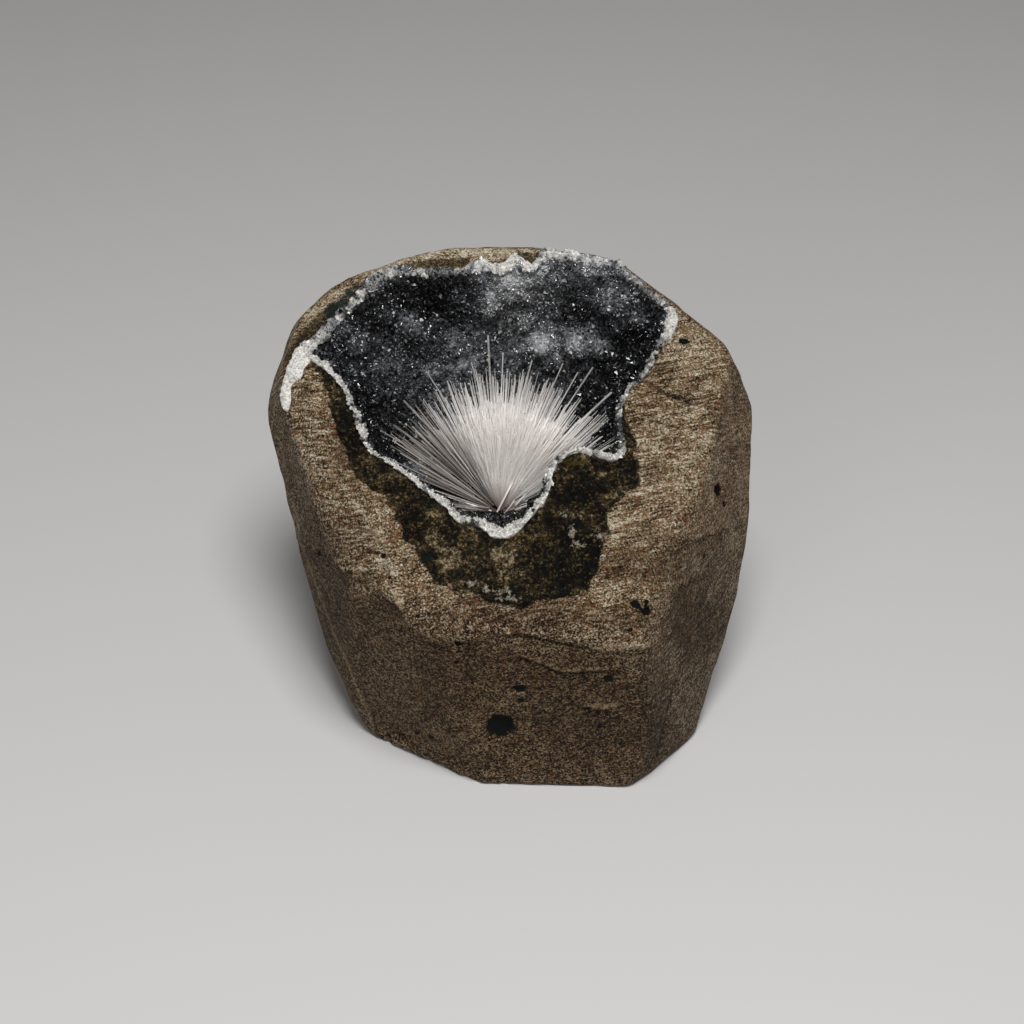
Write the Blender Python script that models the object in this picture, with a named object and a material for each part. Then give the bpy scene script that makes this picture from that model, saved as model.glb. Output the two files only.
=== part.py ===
"""A spray of scolecite in the quartz-lined hollow of a trimmed basalt block. Metres, +Z up."""
import math
import random

import bmesh
import bpy
import numpy as np

# Units: every length below is in millimetres, and the meshes are made in metres
METRES = 0.001
GAP = 0.3
SEED = 11

# The eye that saw the specimen: outlines are placed along its sight lines
PICTURE_CENTRE_PX = 512.0
FOCAL_PX = 2417.8
EYE_ELEVATION = math.radians(35.0)
EYE_DISTANCE = 800.0
AIM_POINT = np.array([1.2, -6.6, 79.0])
PX_AT_AIM = EYE_DISTANCE / FOCAL_PX

# The block: faces as (azimuth, elevation, distance from the centre); azimuth 0 is the front, 90 the right
BLOCK_CENTRE = np.array([1.2, -6.6, 75.0])
GROUND_FACES = [
    (0, 60, 39.5), (2, 42, 45.0), (-40, 34, 59.0), (40, 20, 66.0),
    (-2, -10, 58.8), (-34, -14, 61.5), (-55, -15, 70.0), (-64, -7, 65.3), (-67, -3, 64.8),
    (-69, 0, 67.6), (-86, 10, 83.2), (-96, 20, 89.4), (-116, 42, 97.6), (-137, 54, 97.0),
    (-178, 61, 90.6), (163, 60, 91.2), (122, 45, 89.8), (96, 27, 90.4), (68, 11, 69.6),
    (60, 1, 66.4), (62, -5, 71.0), (48, -18, 81.2), (-105, -20, 73.0), (-100, -35, 79.5),
    (110, -12, 76.5), (102, -24, 82.5), (120, 20, 86.5), (-142, -5, 71.0), (142, -5, 73.0),
    (180, -4, 70.0), (-160, 24, 82.5), (158, 22, 82.5),
]
ROUNDING_CUTS = (1.1, 0.35)
FLATTEST_ROUNDED = 3.0
UNCUT_SIZE = 400.0
BASE_FACING = -0.99

# The rim, clockwise in the picture from the left corner: x, y, and width of the white edge there
RIM_PX = [
    (299, 353, 10), (306, 345, 11), (321, 333, 13), (342, 311, 12), (362, 289, 13), (380, 273, 13),
    (405, 270, 10), (430, 271, 9), (450, 272, 10), (465, 268, 11), (478, 263, 12), (500, 267, 9),
    (514, 256, 8), (531, 265, 8), (545, 250, 8), (565, 254, 10), (590, 257, 10), (610, 261, 8),
    (625, 272, 7), (640, 286, 7), (650, 294, 7), (661, 303, 8), (672, 316, 13), (677, 325, 15),
    (670, 337, 12), (658, 356, 8), (645, 376, 7), (630, 392, 6), (621, 408, 4), (621, 430, 4),
    (623, 448, 6), (619, 459, 7), (606, 459, 5), (592, 455, 6), (578, 453, 8), (564, 460, 9),
    (553, 474, 10), (549, 492, 11), (540, 508, 12), (530, 520, 13), (516, 534, 13), (502, 540, 12),
    (488, 533, 15), (473, 527, 18), (457, 520, 16), (446, 509, 12), (430, 496, 10), (412, 481, 9),
    (397, 469, 8), (382, 460, 7), (370, 450, 7), (363, 433, 6), (356, 414, 6), (350, 398, 7),
    (342, 385, 8), (332, 374, 8), (320, 366, 8), (309, 361, 7),
]

# The hollow: its depth, the lean of its deepest point, and how its wall runs down from the rim
HOLLOW_AXIS = np.array([0.0, -0.5, math.cos(math.radians(30.0))])
HOLLOW_DEPTH = 60.0
HOLLOW_LEAN = np.array([0.0, 2.0, 2.0])
WALL_RINGS = 8
NOTCH_PX = (502.0, 540.0)
NOTCH_REACH = 34.0
UNDERCUT = 0.04
WALL_STEEPNESS = 2.3
NOTCH_EASING = 1.0
WALL_PLUNGE = 1.05
WALL_EASING = 5
MOUTH_REACH = 45.0

# The crust: thickness of its wall and floor, size of its crystals, and its swellings (x, y, radius, height)
CRUST_THICKNESS = 3.0
THINNEST_CRUST = 1.3
CRYSTAL_HEIGHT = 1.9
CRYSTAL_SLENDERNESS = 0.45
CRYSTAL_SIZES = (0.35, 1.0)
RIM_TOOTH = 0.6
RIM_TOOTH_SIZES = (-0.4, 1.0)
RIM_INNER_SUNK = 0.4
BAND_FADE = 2.5
SWELLINGS_PX = [
    (410, 325, 26, 3.0), (520, 285, 30, 3.5), (575, 340, 24, 4.0), (622, 312, 16, 3.0),
    (540, 350, 18, 2.5), (470, 350, 24, 2.0),
]

# The white vein that leaves the rim's left corner, outer side and then inner side, and how deep it goes
VEIN_PX = [
    (300, 348), (292, 358), (288, 370), (285, 381), (282, 400), (284, 411),
    (288, 405), (291, 385), (299, 377), (303, 368), (310, 361), (307, 350),
]
VEIN_DEPTH = 4.5
VEIN_REACH = 12.0
VEIN_PROUD = 0.35
SHARPEST_MITRE = 0.3

# The natural rind in front of the opening, where the block was never ground, and how far it lies back
RIND_PX = [
    (312, 362), (328, 395), (338, 430), (345, 470), (362, 482), (384, 496), (398, 512), (402, 532),
    (414, 556), (430, 584), (462, 588), (485, 601), (520, 607), (552, 598), (588, 592), (602, 566),
    (606, 540), (610, 520), (616, 497), (640, 488), (638, 462), (634, 440), (622, 402), (560, 400),
    (400, 400),
]
RIND_DEPTH = 1.0
RIND_SLICE_REACH = 12.0

# Gas bubbles in the basalt: x, y, width, height, depth
VESICLES_PX = [
    (500, 728, 26, 18, 2.2), (642, 608, 18, 14, 2.4), (718, 490, 7, 10, 1.6), (685, 340, 9, 6, 1.4),
]

# The spray: where it grows from, its half-spread sideways and in depth, and its lengths from there
SPRAY_BASE_PX = (500.0, 512.0)
SPRAY_BASE_NEARER = 18.0
SPRAY_SPREAD = math.radians(60.0)
SPRAY_DEPTH_SPREAD = math.radians(22.0)
SPRAY_ROOT = 4.0
SPRAY_FOOT = np.array([0.0, -1.0, -3.5])
SPRAY_BODY = 37.5
SPRAY_COLLAR = 1.5
SPRAY_TIPS = (41.5, 48.5)
SPRAY_LONGEST = 57.0
SPRAY_SIDE_LOSS = 0.1
SPRAY_RIDGE = 0.06
SPRAY_RIDGE_LEVELS = (0.8, 1.1)
SPRAY_COLLAR_NARROWING = 0.55
SPRAY_COLUMNS = 15
SPRAY_ROWS = 7

TOWARDS_EYE = np.array([0.0, -math.cos(EYE_ELEVATION), math.sin(EYE_ELEVATION)])
PICTURE_UP = np.array([0.0, math.sin(EYE_ELEVATION), math.cos(EYE_ELEVATION)])
PICTURE_RIGHT = np.array([1.0, 0.0, 0.0])
EYE_POINT = AIM_POINT + EYE_DISTANCE * TOWARDS_EYE


def unit(vector):
    """The vector, or each row of vectors, at length one."""
    return vector / np.maximum(np.linalg.norm(vector, axis=-1, keepdims=True), 1e-9)


def face_planes():
    """Outward normals of the block's faces and their distances from the block's centre."""
    faces = np.array(GROUND_FACES, float)
    azimuth = np.radians(faces[:, 0])
    elevation = np.radians(faces[:, 1])
    flat = np.cos(elevation)
    normals = np.stack([np.sin(azimuth) * flat, -np.cos(azimuth) * flat, np.sin(elevation)], axis=1)
    return normals, faces[:, 2]


FACE_NORMALS, FACE_DISTANCES = face_planes()


def sight_line(x_px, y_px):
    """Direction from the eye through a point of the picture."""
    across = (x_px - PICTURE_CENTRE_PX) / FOCAL_PX
    up = (PICTURE_CENTRE_PX - y_px) / FOCAL_PX
    return unit(-TOWARDS_EYE + PICTURE_RIGHT * across + PICTURE_UP * up)


def picture_position(points):
    """Where points in millimetres appear in the picture, in pixels."""
    offset = points - EYE_POINT
    depth = -(offset @ TOWARDS_EYE)
    x_px = PICTURE_CENTRE_PX + FOCAL_PX * (offset @ PICTURE_RIGHT) / depth
    y_px = PICTURE_CENTRE_PX - FOCAL_PX * (offset @ PICTURE_UP) / depth
    return np.stack([x_px, y_px], axis=-1)


def on_block(x_px, y_px, sunk=0.0):
    """The point of the block's surface, or of one sunk below it, that a sight line meets first."""
    ray = sight_line(x_px, y_px)
    slope = FACE_NORMALS @ ray
    reach = (FACE_DISTANCES - sunk - FACE_NORMALS @ (EYE_POINT - BLOCK_CENTRE)) / slope
    return EYE_POINT + reach[slope < 0].max() * ray


def inward_in_picture(outline):
    """Unit directions, in the picture, that point to the inside of a clockwise outline."""
    along = unit(np.roll(outline, -1, axis=0) - np.roll(outline, 1, axis=0))
    return np.stack([-along[:, 1], along[:, 0]], axis=1)


def rim_rings():
    """The rim's outer and inner edge on the block's surface."""
    rim = np.array(RIM_PX, float)
    inner_px = rim[:, :2] + inward_in_picture(rim[:, :2]) * rim[:, 2:3]
    outer = np.array([on_block(x, y) for x, y in rim[:, :2]])
    inner = np.array([on_block(x, y, RIM_INNER_SUNK) for x, y in inner_px])
    return outer, inner


def wall_profile(outer):
    """Rings of the hollow's wall from the rim down, without the deepest point, and that point."""
    middle = outer.mean(axis=0)
    deepest = middle - HOLLOW_DEPTH * HOLLOW_AXIS + HOLLOW_LEAN
    notch = on_block(*NOTCH_PX)
    near_notch = np.exp(-(np.linalg.norm(outer - notch, axis=1) / NOTCH_REACH) ** 2)
    steepness = (WALL_STEEPNESS - NOTCH_EASING * near_notch)[:, None]
    undercut = UNDERCUT * (1.0 - near_notch)[:, None]
    eased = outer - middle
    rings = []
    for ring in range(WALL_RINGS + 1):
        way = ring / (WALL_RINGS + 1)
        spread = 1.0 - way ** steepness + undercut * math.sin(math.pi * way)
        sink = math.sin(0.5 * math.pi * way) ** WALL_PLUNGE
        rings.append(middle + eased * spread + (deepest - middle) * sink)
        for _ in range(WALL_EASING):
            eased = 0.5 * eased + 0.25 * (np.roll(eased, 1, axis=0) + np.roll(eased, -1, axis=0))
    return np.array(rings), deepest


def wall_normals(rings, deepest):
    """Unit directions from the wall into the hollow, at each point of the rings."""
    down = np.gradient(rings, axis=0)
    around = np.roll(rings, -1, axis=1) - np.roll(rings, 1, axis=1)
    normals = unit(np.cross(down, around))
    hollow_middle = 0.5 * (rings[0].mean(axis=0) + deepest)
    side = np.sign(((hollow_middle - rings) * normals).sum(axis=-1).sum())
    return normals * side


def swelling_height(points):
    """How far the crust swells at wall points, from where they appear in the picture."""
    seen = picture_position(points)
    height = np.zeros(seen.shape[:-1])
    for x_px, y_px, radius, rise in SWELLINGS_PX:
        distance = np.hypot(seen[..., 0] - x_px, seen[..., 1] - y_px) / radius
        height += rise * np.exp(-distance ** 2)
    return height


def add_strip(faces, first, second, count):
    """Quads between two closed rings of vertices."""
    for index in range(count):
        following = (index + 1) % count
        faces.append((first + index, first + following, second + following, second + index))


def add_fan(faces, ring, apex, count):
    """Triangles from a closed ring to one vertex."""
    for index in range(count):
        faces.append((ring + index, ring + (index + 1) % count, apex))


def solid_object(name, points, faces, material=None):
    """A mesh object from millimetre points, with its faces turned outwards."""
    mesh = bpy.data.meshes.new(name)
    mesh.from_pydata([tuple(point) for point in np.asarray(points) * METRES], [], faces)
    shape = bmesh.new()
    shape.from_mesh(mesh)
    bmesh.ops.triangulate(shape, faces=shape.faces[:])
    bmesh.ops.recalc_face_normals(shape, faces=shape.faces[:])
    shape.to_mesh(mesh)
    shape.free()
    thing = bpy.data.objects.new(name, mesh)
    bpy.context.scene.collection.objects.link(thing)
    if material:
        mesh.materials.append(material)
    return thing


def as_cutter(thing):
    """Marks an object that only shapes another one."""
    thing.hide_render = True
    thing.display_type = "WIRE"
    return thing


def boolean(thing, other, operation):
    """Cuts or joins another object into a thing."""
    change = thing.modifiers.new(other.name, "BOOLEAN")
    change.operation = operation
    change.solver = "EXACT"
    change.object = other


def principled(name, colour, roughness, transmission=0.0):
    """A plain surface material."""
    material = bpy.data.materials.new(name)
    material.use_nodes = True
    shader = material.node_tree.nodes["Principled BSDF"]
    shader.inputs["Base Color"].default_value = (*colour, 1.0)
    shader.inputs["Roughness"].default_value = roughness
    shader.inputs["Metallic"].default_value = 0.0
    shader.inputs["Transmission Weight"].default_value = transmission
    return material


def basalt_material():
    """Ground grey-brown basalt."""
    return principled("basalt", (0.20, 0.165, 0.13), 0.85)


def quartz_material():
    """White chalcedony with grey quartz."""
    return principled("quartz", (0.42, 0.42, 0.44), 0.35)


def scolecite_material():
    """White silky needles."""
    return principled("scolecite", (0.82, 0.78, 0.75), 0.3)


def cut_to_plane(shape, point, normal):
    """Takes away what lies outside a plane and closes the cut."""
    everything = shape.verts[:] + shape.edges[:] + shape.faces[:]
    cut = bmesh.ops.bisect_plane(
        shape, geom=everything, dist=1e-7, plane_co=point, plane_no=normal, clear_outer=True)
    edges = [part for part in cut["geom_cut"] if isinstance(part, bmesh.types.BMEdge)]
    if edges:
        bmesh.ops.holes_fill(shape, edges=edges, sides=0)


def round_edges(shape, depth):
    """Grinds every edge off by a plane set a little inside it, except around the base."""
    cuts = []
    for edge in shape.edges:
        first, second = (face.normal.copy() for face in edge.link_faces)
        if min(first.z, second.z) < BASE_FACING:
            continue
        normal = (first + second).normalized()
        sharpness = min(1.0, FLATTEST_ROUNDED * (1.0 - first.dot(second)))
        middle = (edge.verts[0].co + edge.verts[1].co) * 0.5
        cuts.append((middle - normal * depth * METRES * sharpness, normal))
    for point, normal in cuts:
        cut_to_plane(shape, point, normal)
    bmesh.ops.recalc_face_normals(shape, faces=shape.faces[:])


def ground_block(name, sunk=0.0):
    """The trimmed block with worn edges and a flat base, or one sunk below its faces."""
    shape = bmesh.new()
    bmesh.ops.create_cube(shape, size=UNCUT_SIZE * METRES)
    cut_to_plane(shape, (0.0, 0.0, 0.0), (0.0, 0.0, -1.0))
    for normal, distance in zip(FACE_NORMALS, FACE_DISTANCES - sunk):
        cut_to_plane(shape, tuple((BLOCK_CENTRE + normal * distance) * METRES), tuple(normal))
    bmesh.ops.recalc_face_normals(shape, faces=shape.faces[:])
    for depth in ROUNDING_CUTS:
        round_edges(shape, depth)
    bmesh.ops.triangulate(shape, faces=shape.faces[:])
    mesh = bpy.data.meshes.new(name)
    shape.to_mesh(mesh)
    shape.free()
    block = bpy.data.objects.new(name, mesh)
    bpy.context.scene.collection.objects.link(block)
    return block


def hollow_cutter(wall):
    """The space of the hollow, a gap wider than the crust, that runs out past the block's surface."""
    outer, inner, rings, deepest, normals = wall
    widened = rings - normals * GAP
    widened[0] = outer - unit(inner - outer) * GAP
    mouth = widened[0] + TOWARDS_EYE * MOUTH_REACH
    layers = np.concatenate([mouth[None], widened])
    count = len(outer)
    points = list(layers.reshape(-1, 3))
    faces = []
    for layer in range(len(layers) - 1):
        add_strip(faces, layer * count, (layer + 1) * count, count)
    points.append(mouth.mean(axis=0))
    add_fan(faces, 0, len(points) - 1, count)
    points.append(deepest - unit(rings[0].mean(axis=0) - deepest) * GAP)
    add_fan(faces, (len(layers) - 1) * count, len(points) - 1, count)
    return as_cutter(solid_object("hollow_cutter", points, faces))


def grown_outline(outline, width):
    """An anticlockwise outline with every side moved out by a width."""
    sides = unit(np.roll(outline, -1, axis=0) - outline)
    out = np.stack([-sides[:, 1], sides[:, 0]], axis=1)
    before = np.roll(out, 1, axis=0)
    sharing = 1.0 + (out * before).sum(axis=1, keepdims=True)
    return outline + (out + before) / np.maximum(sharing, SHARPEST_MITRE) * width


def vein_prism(name, grow):
    """The vein's outline carried straight into the block's left shoulder, grown on every side."""
    outline = np.array(VEIN_PX, float)
    middle = on_block(*outline.mean(axis=0))
    inward = unit(BLOCK_CENTRE - middle)
    level = []
    for x_px, y_px in grown_outline(outline, grow / PX_AT_AIM):
        ray = sight_line(x_px, y_px)
        level.append(EYE_POINT + ray * ((middle - EYE_POINT) @ inward) / (ray @ inward))
    level = np.array(level)
    count = len(level)
    points = np.concatenate([level - inward * VEIN_REACH, level + inward * (VEIN_DEPTH + grow)])
    faces = [tuple(range(count)), tuple(range(2 * count - 1, count - 1, -1))]
    add_strip(faces, 0, count, count)
    return as_cutter(solid_object(name, points, faces))


def vein_slab():
    """The white vein, cut off a little proud of the block's surface."""
    slab = vein_prism("vein_slab", 0.0)
    boolean(slab, as_cutter(ground_block("vein_cap", -VEIN_PROUD)), "INTERSECT")
    return slab


def rind_cutter():
    """A shallow slice between the block's surface and a sunk one, over the natural rind."""
    near = np.array([on_block(x, y) for x, y in RIND_PX])
    count = len(near)
    points = np.concatenate([near + TOWARDS_EYE * RIND_SLICE_REACH, near - TOWARDS_EYE * RIND_SLICE_REACH])
    faces = [tuple(range(count)), tuple(range(2 * count - 1, count - 1, -1))]
    add_strip(faces, 0, count, count)
    slice_solid = as_cutter(solid_object("rind_cutter", points, faces))
    core = as_cutter(ground_block("rind_core", RIND_DEPTH))
    boolean(slice_solid, core, "DIFFERENCE")
    return slice_solid


def vesicle_cutter(number, x_px, y_px, width_px, height_px, depth):
    """One gas bubble, cut open by the block's surface."""
    centre = on_block(x_px, y_px)
    half_width = 0.5 * width_px * PX_AT_AIM
    half_height = 0.5 * height_px * PX_AT_AIM
    shape = bmesh.new()
    bmesh.ops.create_icosphere(shape, subdivisions=1, radius=1.0)
    for vertex in shape.verts:
        local = np.array(vertex.co) * np.array([half_width, depth, half_height])
        moved = centre + local[0] * PICTURE_RIGHT - local[1] * TOWARDS_EYE + local[2] * PICTURE_UP
        vertex.co = tuple(moved * METRES)
    mesh = bpy.data.meshes.new("vesicle_cutter")
    shape.to_mesh(mesh)
    shape.free()
    bubble = bpy.data.objects.new(f"vesicle_cutter_{number}", mesh)
    bpy.context.scene.collection.objects.link(bubble)
    return as_cutter(bubble)


def basalt_matrix(hollow):
    """The basalt block with its hollow, groove, rind and gas bubbles."""
    block = ground_block("basalt_matrix")
    block.data.materials.append(basalt_material())
    boolean(block, hollow, "DIFFERENCE")
    boolean(block, vein_prism("vein_groove_cutter", GAP), "DIFFERENCE")
    boolean(block, rind_cutter(), "DIFFERENCE")
    for number, bubble in enumerate(VESICLES_PX):
        boolean(block, vesicle_cutter(number, *bubble), "DIFFERENCE")
    return block


def crystal_ring_faces(points, faces, first_ring, second_ring, count, heights, normals):
    """Quads between two rings, each raised to a four-sided crystal point."""
    for index in range(count):
        following = (index + 1) % count
        corners = [first_ring + index, first_ring + following, second_ring + following, second_ring + index]
        places = np.array([points[corner] for corner in corners])
        shortest = np.linalg.norm(places - np.roll(places, 1, axis=0), axis=1).min()
        height = min(heights[index], CRYSTAL_SLENDERNESS * shortest)
        points.append(places.mean(axis=0) + normals[index] * height)
        for side in range(4):
            faces.append((corners[side], corners[(side + 1) % 4], len(points) - 1))


def crust_solid(name, wall, grow=0.0):
    """The crust: its hidden back, its crystal-covered face, thicker by a growth, and its broken edge."""
    outer, inner, rings, deepest, normals = wall
    chance = random.Random(SEED)
    count = len(outer)
    middle = rings[0].mean(axis=0)
    floor = deepest + unit(middle - deepest) * (CRUST_THICKNESS + grow)
    way = np.arange(1, len(rings))[:, None] / (len(rings) - 1)
    band = np.linalg.norm(inner - outer, axis=1)[None, :]
    blend = np.minimum(1.0, way * BAND_FADE)
    thickness = band * (1.0 - blend) + CRUST_THICKNESS * blend
    thickness = np.maximum(thickness, THINNEST_CRUST) + swelling_height(rings[1:]) + grow
    face_rings = np.concatenate([inner[None], rings[1:] + normals[1:] * thickness[..., None]])

    points = list(rings.reshape(-1, 3)) + list(face_rings.reshape(-1, 3))
    faces = []
    face_start = len(rings) * count
    for layer in range(len(rings) - 1):
        add_strip(faces, layer * count, (layer + 1) * count, count)
        heights = [CRYSTAL_HEIGHT * chance.uniform(*CRYSTAL_SIZES) for _ in range(count)]
        top = face_start + layer * count
        crystal_ring_faces(points, faces, top, top + count, count, heights, normals[layer])
    points.append(deepest)
    add_fan(faces, (len(rings) - 1) * count, len(points) - 1, count)
    points.append(floor)
    add_fan(faces, face_start + (len(rings) - 1) * count, len(points) - 1, count)
    teeth = [RIM_TOOTH * chance.uniform(*RIM_TOOTH_SIZES) for _ in range(count)]
    up = np.repeat(HOLLOW_AXIS[None], count, axis=0)
    crystal_ring_faces(points, faces, 0, face_start, count, teeth, up)
    return solid_object(name, points, faces)


def quartz_crust(wall):
    """The crust of chalcedony and quartz with the vein that runs out of it."""
    crust = crust_solid("quartz_crust", wall)
    crust.data.materials.append(quartz_material())
    boolean(crust, vein_slab(), "UNION")
    return crust


def spray_direction(across, depth):
    """Growth direction for a place in the spray's fan, both places from -1 to 1."""
    round_across = across * math.sqrt(1.0 - 0.5 * depth ** 2)
    round_depth = depth * math.sqrt(1.0 - 0.5 * across ** 2)
    side_angle = round_across * SPRAY_SPREAD
    depth_angle = round_depth * SPRAY_DEPTH_SPREAD
    fan = math.cos(side_angle) * PICTURE_UP + math.sin(side_angle) * PICTURE_RIGHT
    return math.cos(depth_angle) * fan + math.sin(depth_angle) * TOWARDS_EYE


def spray_base():
    """The point that the needles radiate from, a little behind the rim's notch."""
    ray = sight_line(*SPRAY_BASE_PX)
    return EYE_POINT + ray * (EYE_DISTANCE - SPRAY_BASE_NEARER) / -(ray @ TOWARDS_EYE)


def needle_faces(points, faces, corners, directions, base, reach):
    """One needle of the fan: a collar from four corners of the fan's body, narrowing to a long point."""
    middle = unit(sum(directions))
    collar = []
    for direction in directions:
        narrowed = unit(direction + SPRAY_COLLAR_NARROWING * (middle - direction))
        collar.append(len(points))
        points.append(base + narrowed * (SPRAY_BODY + SPRAY_COLLAR))
    tip = len(points)
    points.append(base + middle * reach)
    for side in range(4):
        following = (side + 1) % 4
        faces.append((corners[side], corners[following], collar[following], collar[side]))
        faces.append((collar[side], collar[following], tip))


def fan_border():
    """Places around the edge of the fan's grid, in order."""
    places = [(0, column) for column in range(SPRAY_COLUMNS)]
    places += [(row, SPRAY_COLUMNS) for row in range(SPRAY_ROWS)]
    places += [(SPRAY_ROWS, column) for column in range(SPRAY_COLUMNS, 0, -1)]
    places += [(row, 0) for row in range(SPRAY_ROWS, 0, -1)]
    return places


def scolecite_spray(wall):
    """A fan of needles grown together, rooted on the crust, each ending in its own long point."""
    chance = random.Random(SEED + 1)
    base = spray_base()
    points = []
    faces = []
    directions = {}
    body = {}
    for row in range(SPRAY_ROWS + 1):
        for column in range(SPRAY_COLUMNS + 1):
            place = (row, column)
            across = 2.0 * column / SPRAY_COLUMNS - 1.0
            directions[place] = spray_direction(across, 2.0 * row / SPRAY_ROWS - 1.0)
            body[place] = len(points)
            points.append(base + directions[place] * SPRAY_BODY)

    longest = (SPRAY_ROWS // 2, SPRAY_COLUMNS // 2)
    for row in range(SPRAY_ROWS):
        for column in range(SPRAY_COLUMNS):
            places = [(row, column), (row, column + 1), (row + 1, column + 1), (row + 1, column)]
            aside = 2.0 * (column + 0.5) / SPRAY_COLUMNS - 1.0
            reach = chance.uniform(*SPRAY_TIPS) * (1.0 - SPRAY_SIDE_LOSS * aside ** 2)
            if (row, column) == longest:
                reach = SPRAY_LONGEST
            corners = [body[place] for place in places]
            needle_faces(points, faces, corners, [directions[place] for place in places], base, reach)

    border = fan_border()
    axis = spray_direction(0.0, 0.0)
    waist = len(points)
    points.extend(base + directions[place] * SPRAY_ROOT for place in border)
    for index, place in enumerate(border):
        following = (index + 1) % len(border)
        near = body[place]
        far = body[border[following]]
        middle = unit(directions[place] + directions[border[following]])
        ridge = len(points)
        level = SPRAY_BODY * chance.uniform(*SPRAY_RIDGE_LEVELS)
        points.append(base + unit(middle - SPRAY_RIDGE * axis) * level)
        faces.append((waist + index, waist + following, ridge))
        faces.append((waist + index, ridge, near))
        faces.append((waist + following, far, ridge))
        faces.append((near, ridge, far))
    points.append(base + SPRAY_FOOT)
    add_fan(faces, waist, len(points) - 1, len(border))

    spray = solid_object("scolecite_spray", points, faces, scolecite_material())
    boolean(spray, as_cutter(crust_solid("spray_seat_cutter", wall, GAP)), "DIFFERENCE")
    return spray


def build():
    """Makes the block, its crust and its spray."""
    for thing in list(bpy.data.objects):
        bpy.data.objects.remove(thing, do_unlink=True)
    outer, inner = rim_rings()
    rings, deepest = wall_profile(outer)
    wall = (outer, inner, rings, deepest, wall_normals(rings, deepest))
    basalt_matrix(hollow_cutter(wall))
    quartz_crust(wall)
    scolecite_spray(wall)


build()
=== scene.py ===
"""The scolecite specimen's surfaces: ground basalt, quartz crust and scolecite needles."""
import itertools
import math

import bpy
import numpy as np
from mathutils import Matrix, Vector


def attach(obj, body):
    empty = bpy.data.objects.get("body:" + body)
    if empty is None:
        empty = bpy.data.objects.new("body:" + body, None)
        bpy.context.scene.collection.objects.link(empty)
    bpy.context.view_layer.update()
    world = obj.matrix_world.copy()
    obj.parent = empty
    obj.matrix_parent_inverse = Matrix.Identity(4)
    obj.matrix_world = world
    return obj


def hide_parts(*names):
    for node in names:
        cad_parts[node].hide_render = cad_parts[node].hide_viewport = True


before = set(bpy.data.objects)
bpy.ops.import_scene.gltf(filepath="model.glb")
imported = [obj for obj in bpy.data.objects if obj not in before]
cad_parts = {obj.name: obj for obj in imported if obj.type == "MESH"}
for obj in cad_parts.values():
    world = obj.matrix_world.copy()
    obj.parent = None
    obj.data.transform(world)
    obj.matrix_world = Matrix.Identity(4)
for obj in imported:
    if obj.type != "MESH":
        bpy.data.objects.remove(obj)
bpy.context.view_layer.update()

# Units: lengths below are in millimetres, and the meshes are made in metres
METRES = 0.001
# A distance further off than anything here
FAR = 1e9

# The eye that saw the specimen: outlines are placed along its sight lines
PICTURE_CENTRE_PX = 512.0
FOCAL_PX = 2417.8
EYE_ELEVATION = math.radians(35.0)
EYE_DISTANCE = 800.0
LENS = 85.0
SENSOR = 36.0
AIM_POINT = np.array([1.2, -6.6, 79.0])
TOWARDS_EYE = np.array([0.0, -math.cos(EYE_ELEVATION), math.sin(EYE_ELEVATION)])
PICTURE_UP = np.array([0.0, math.sin(EYE_ELEVATION), math.cos(EYE_ELEVATION)])
PICTURE_RIGHT = np.array([1.0, 0.0, 0.0])
EYE_POINT = AIM_POINT + EYE_DISTANCE * TOWARDS_EYE

# The block: faces as (azimuth, elevation, distance from the centre); azimuth 0 is the front, 90 the right
BLOCK_CENTRE = np.array([1.2, -6.6, 75.0])
GROUND_FACES = [
    (0, 60, 39.5), (2, 42, 45.0), (-40, 34, 59.0), (40, 20, 66.0), (-2, -10, 58.8), (-34, -14, 61.5),
    (-55, -15, 70.0), (-64, -7, 65.3), (-67, -3, 64.8), (-69, 0, 67.6), (-86, 10, 83.2), (-96, 20, 89.4),
    (-116, 42, 97.6), (-137, 54, 97.0), (-178, 61, 90.6), (163, 60, 91.2), (122, 45, 89.8), (96, 27, 90.4),
    (68, 11, 69.6), (60, 1, 66.4), (62, -5, 71.0), (48, -18, 81.2), (-105, -20, 73.0), (-100, -35, 79.5),
    (110, -12, 76.5), (102, -24, 82.5), (120, 20, 86.5), (-142, -5, 71.0), (142, -5, 73.0), (180, -4, 70.0),
    (-160, 24, 82.5), (158, 22, 82.5), (0, -90, 75.0),
]
EDGE_WEAR = 1.1
GRINDING_BLEND = 3.0
# A face isn't met along a direction whose cosine with the face's normal is below this
LEAST_TURN = 0.02

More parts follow.
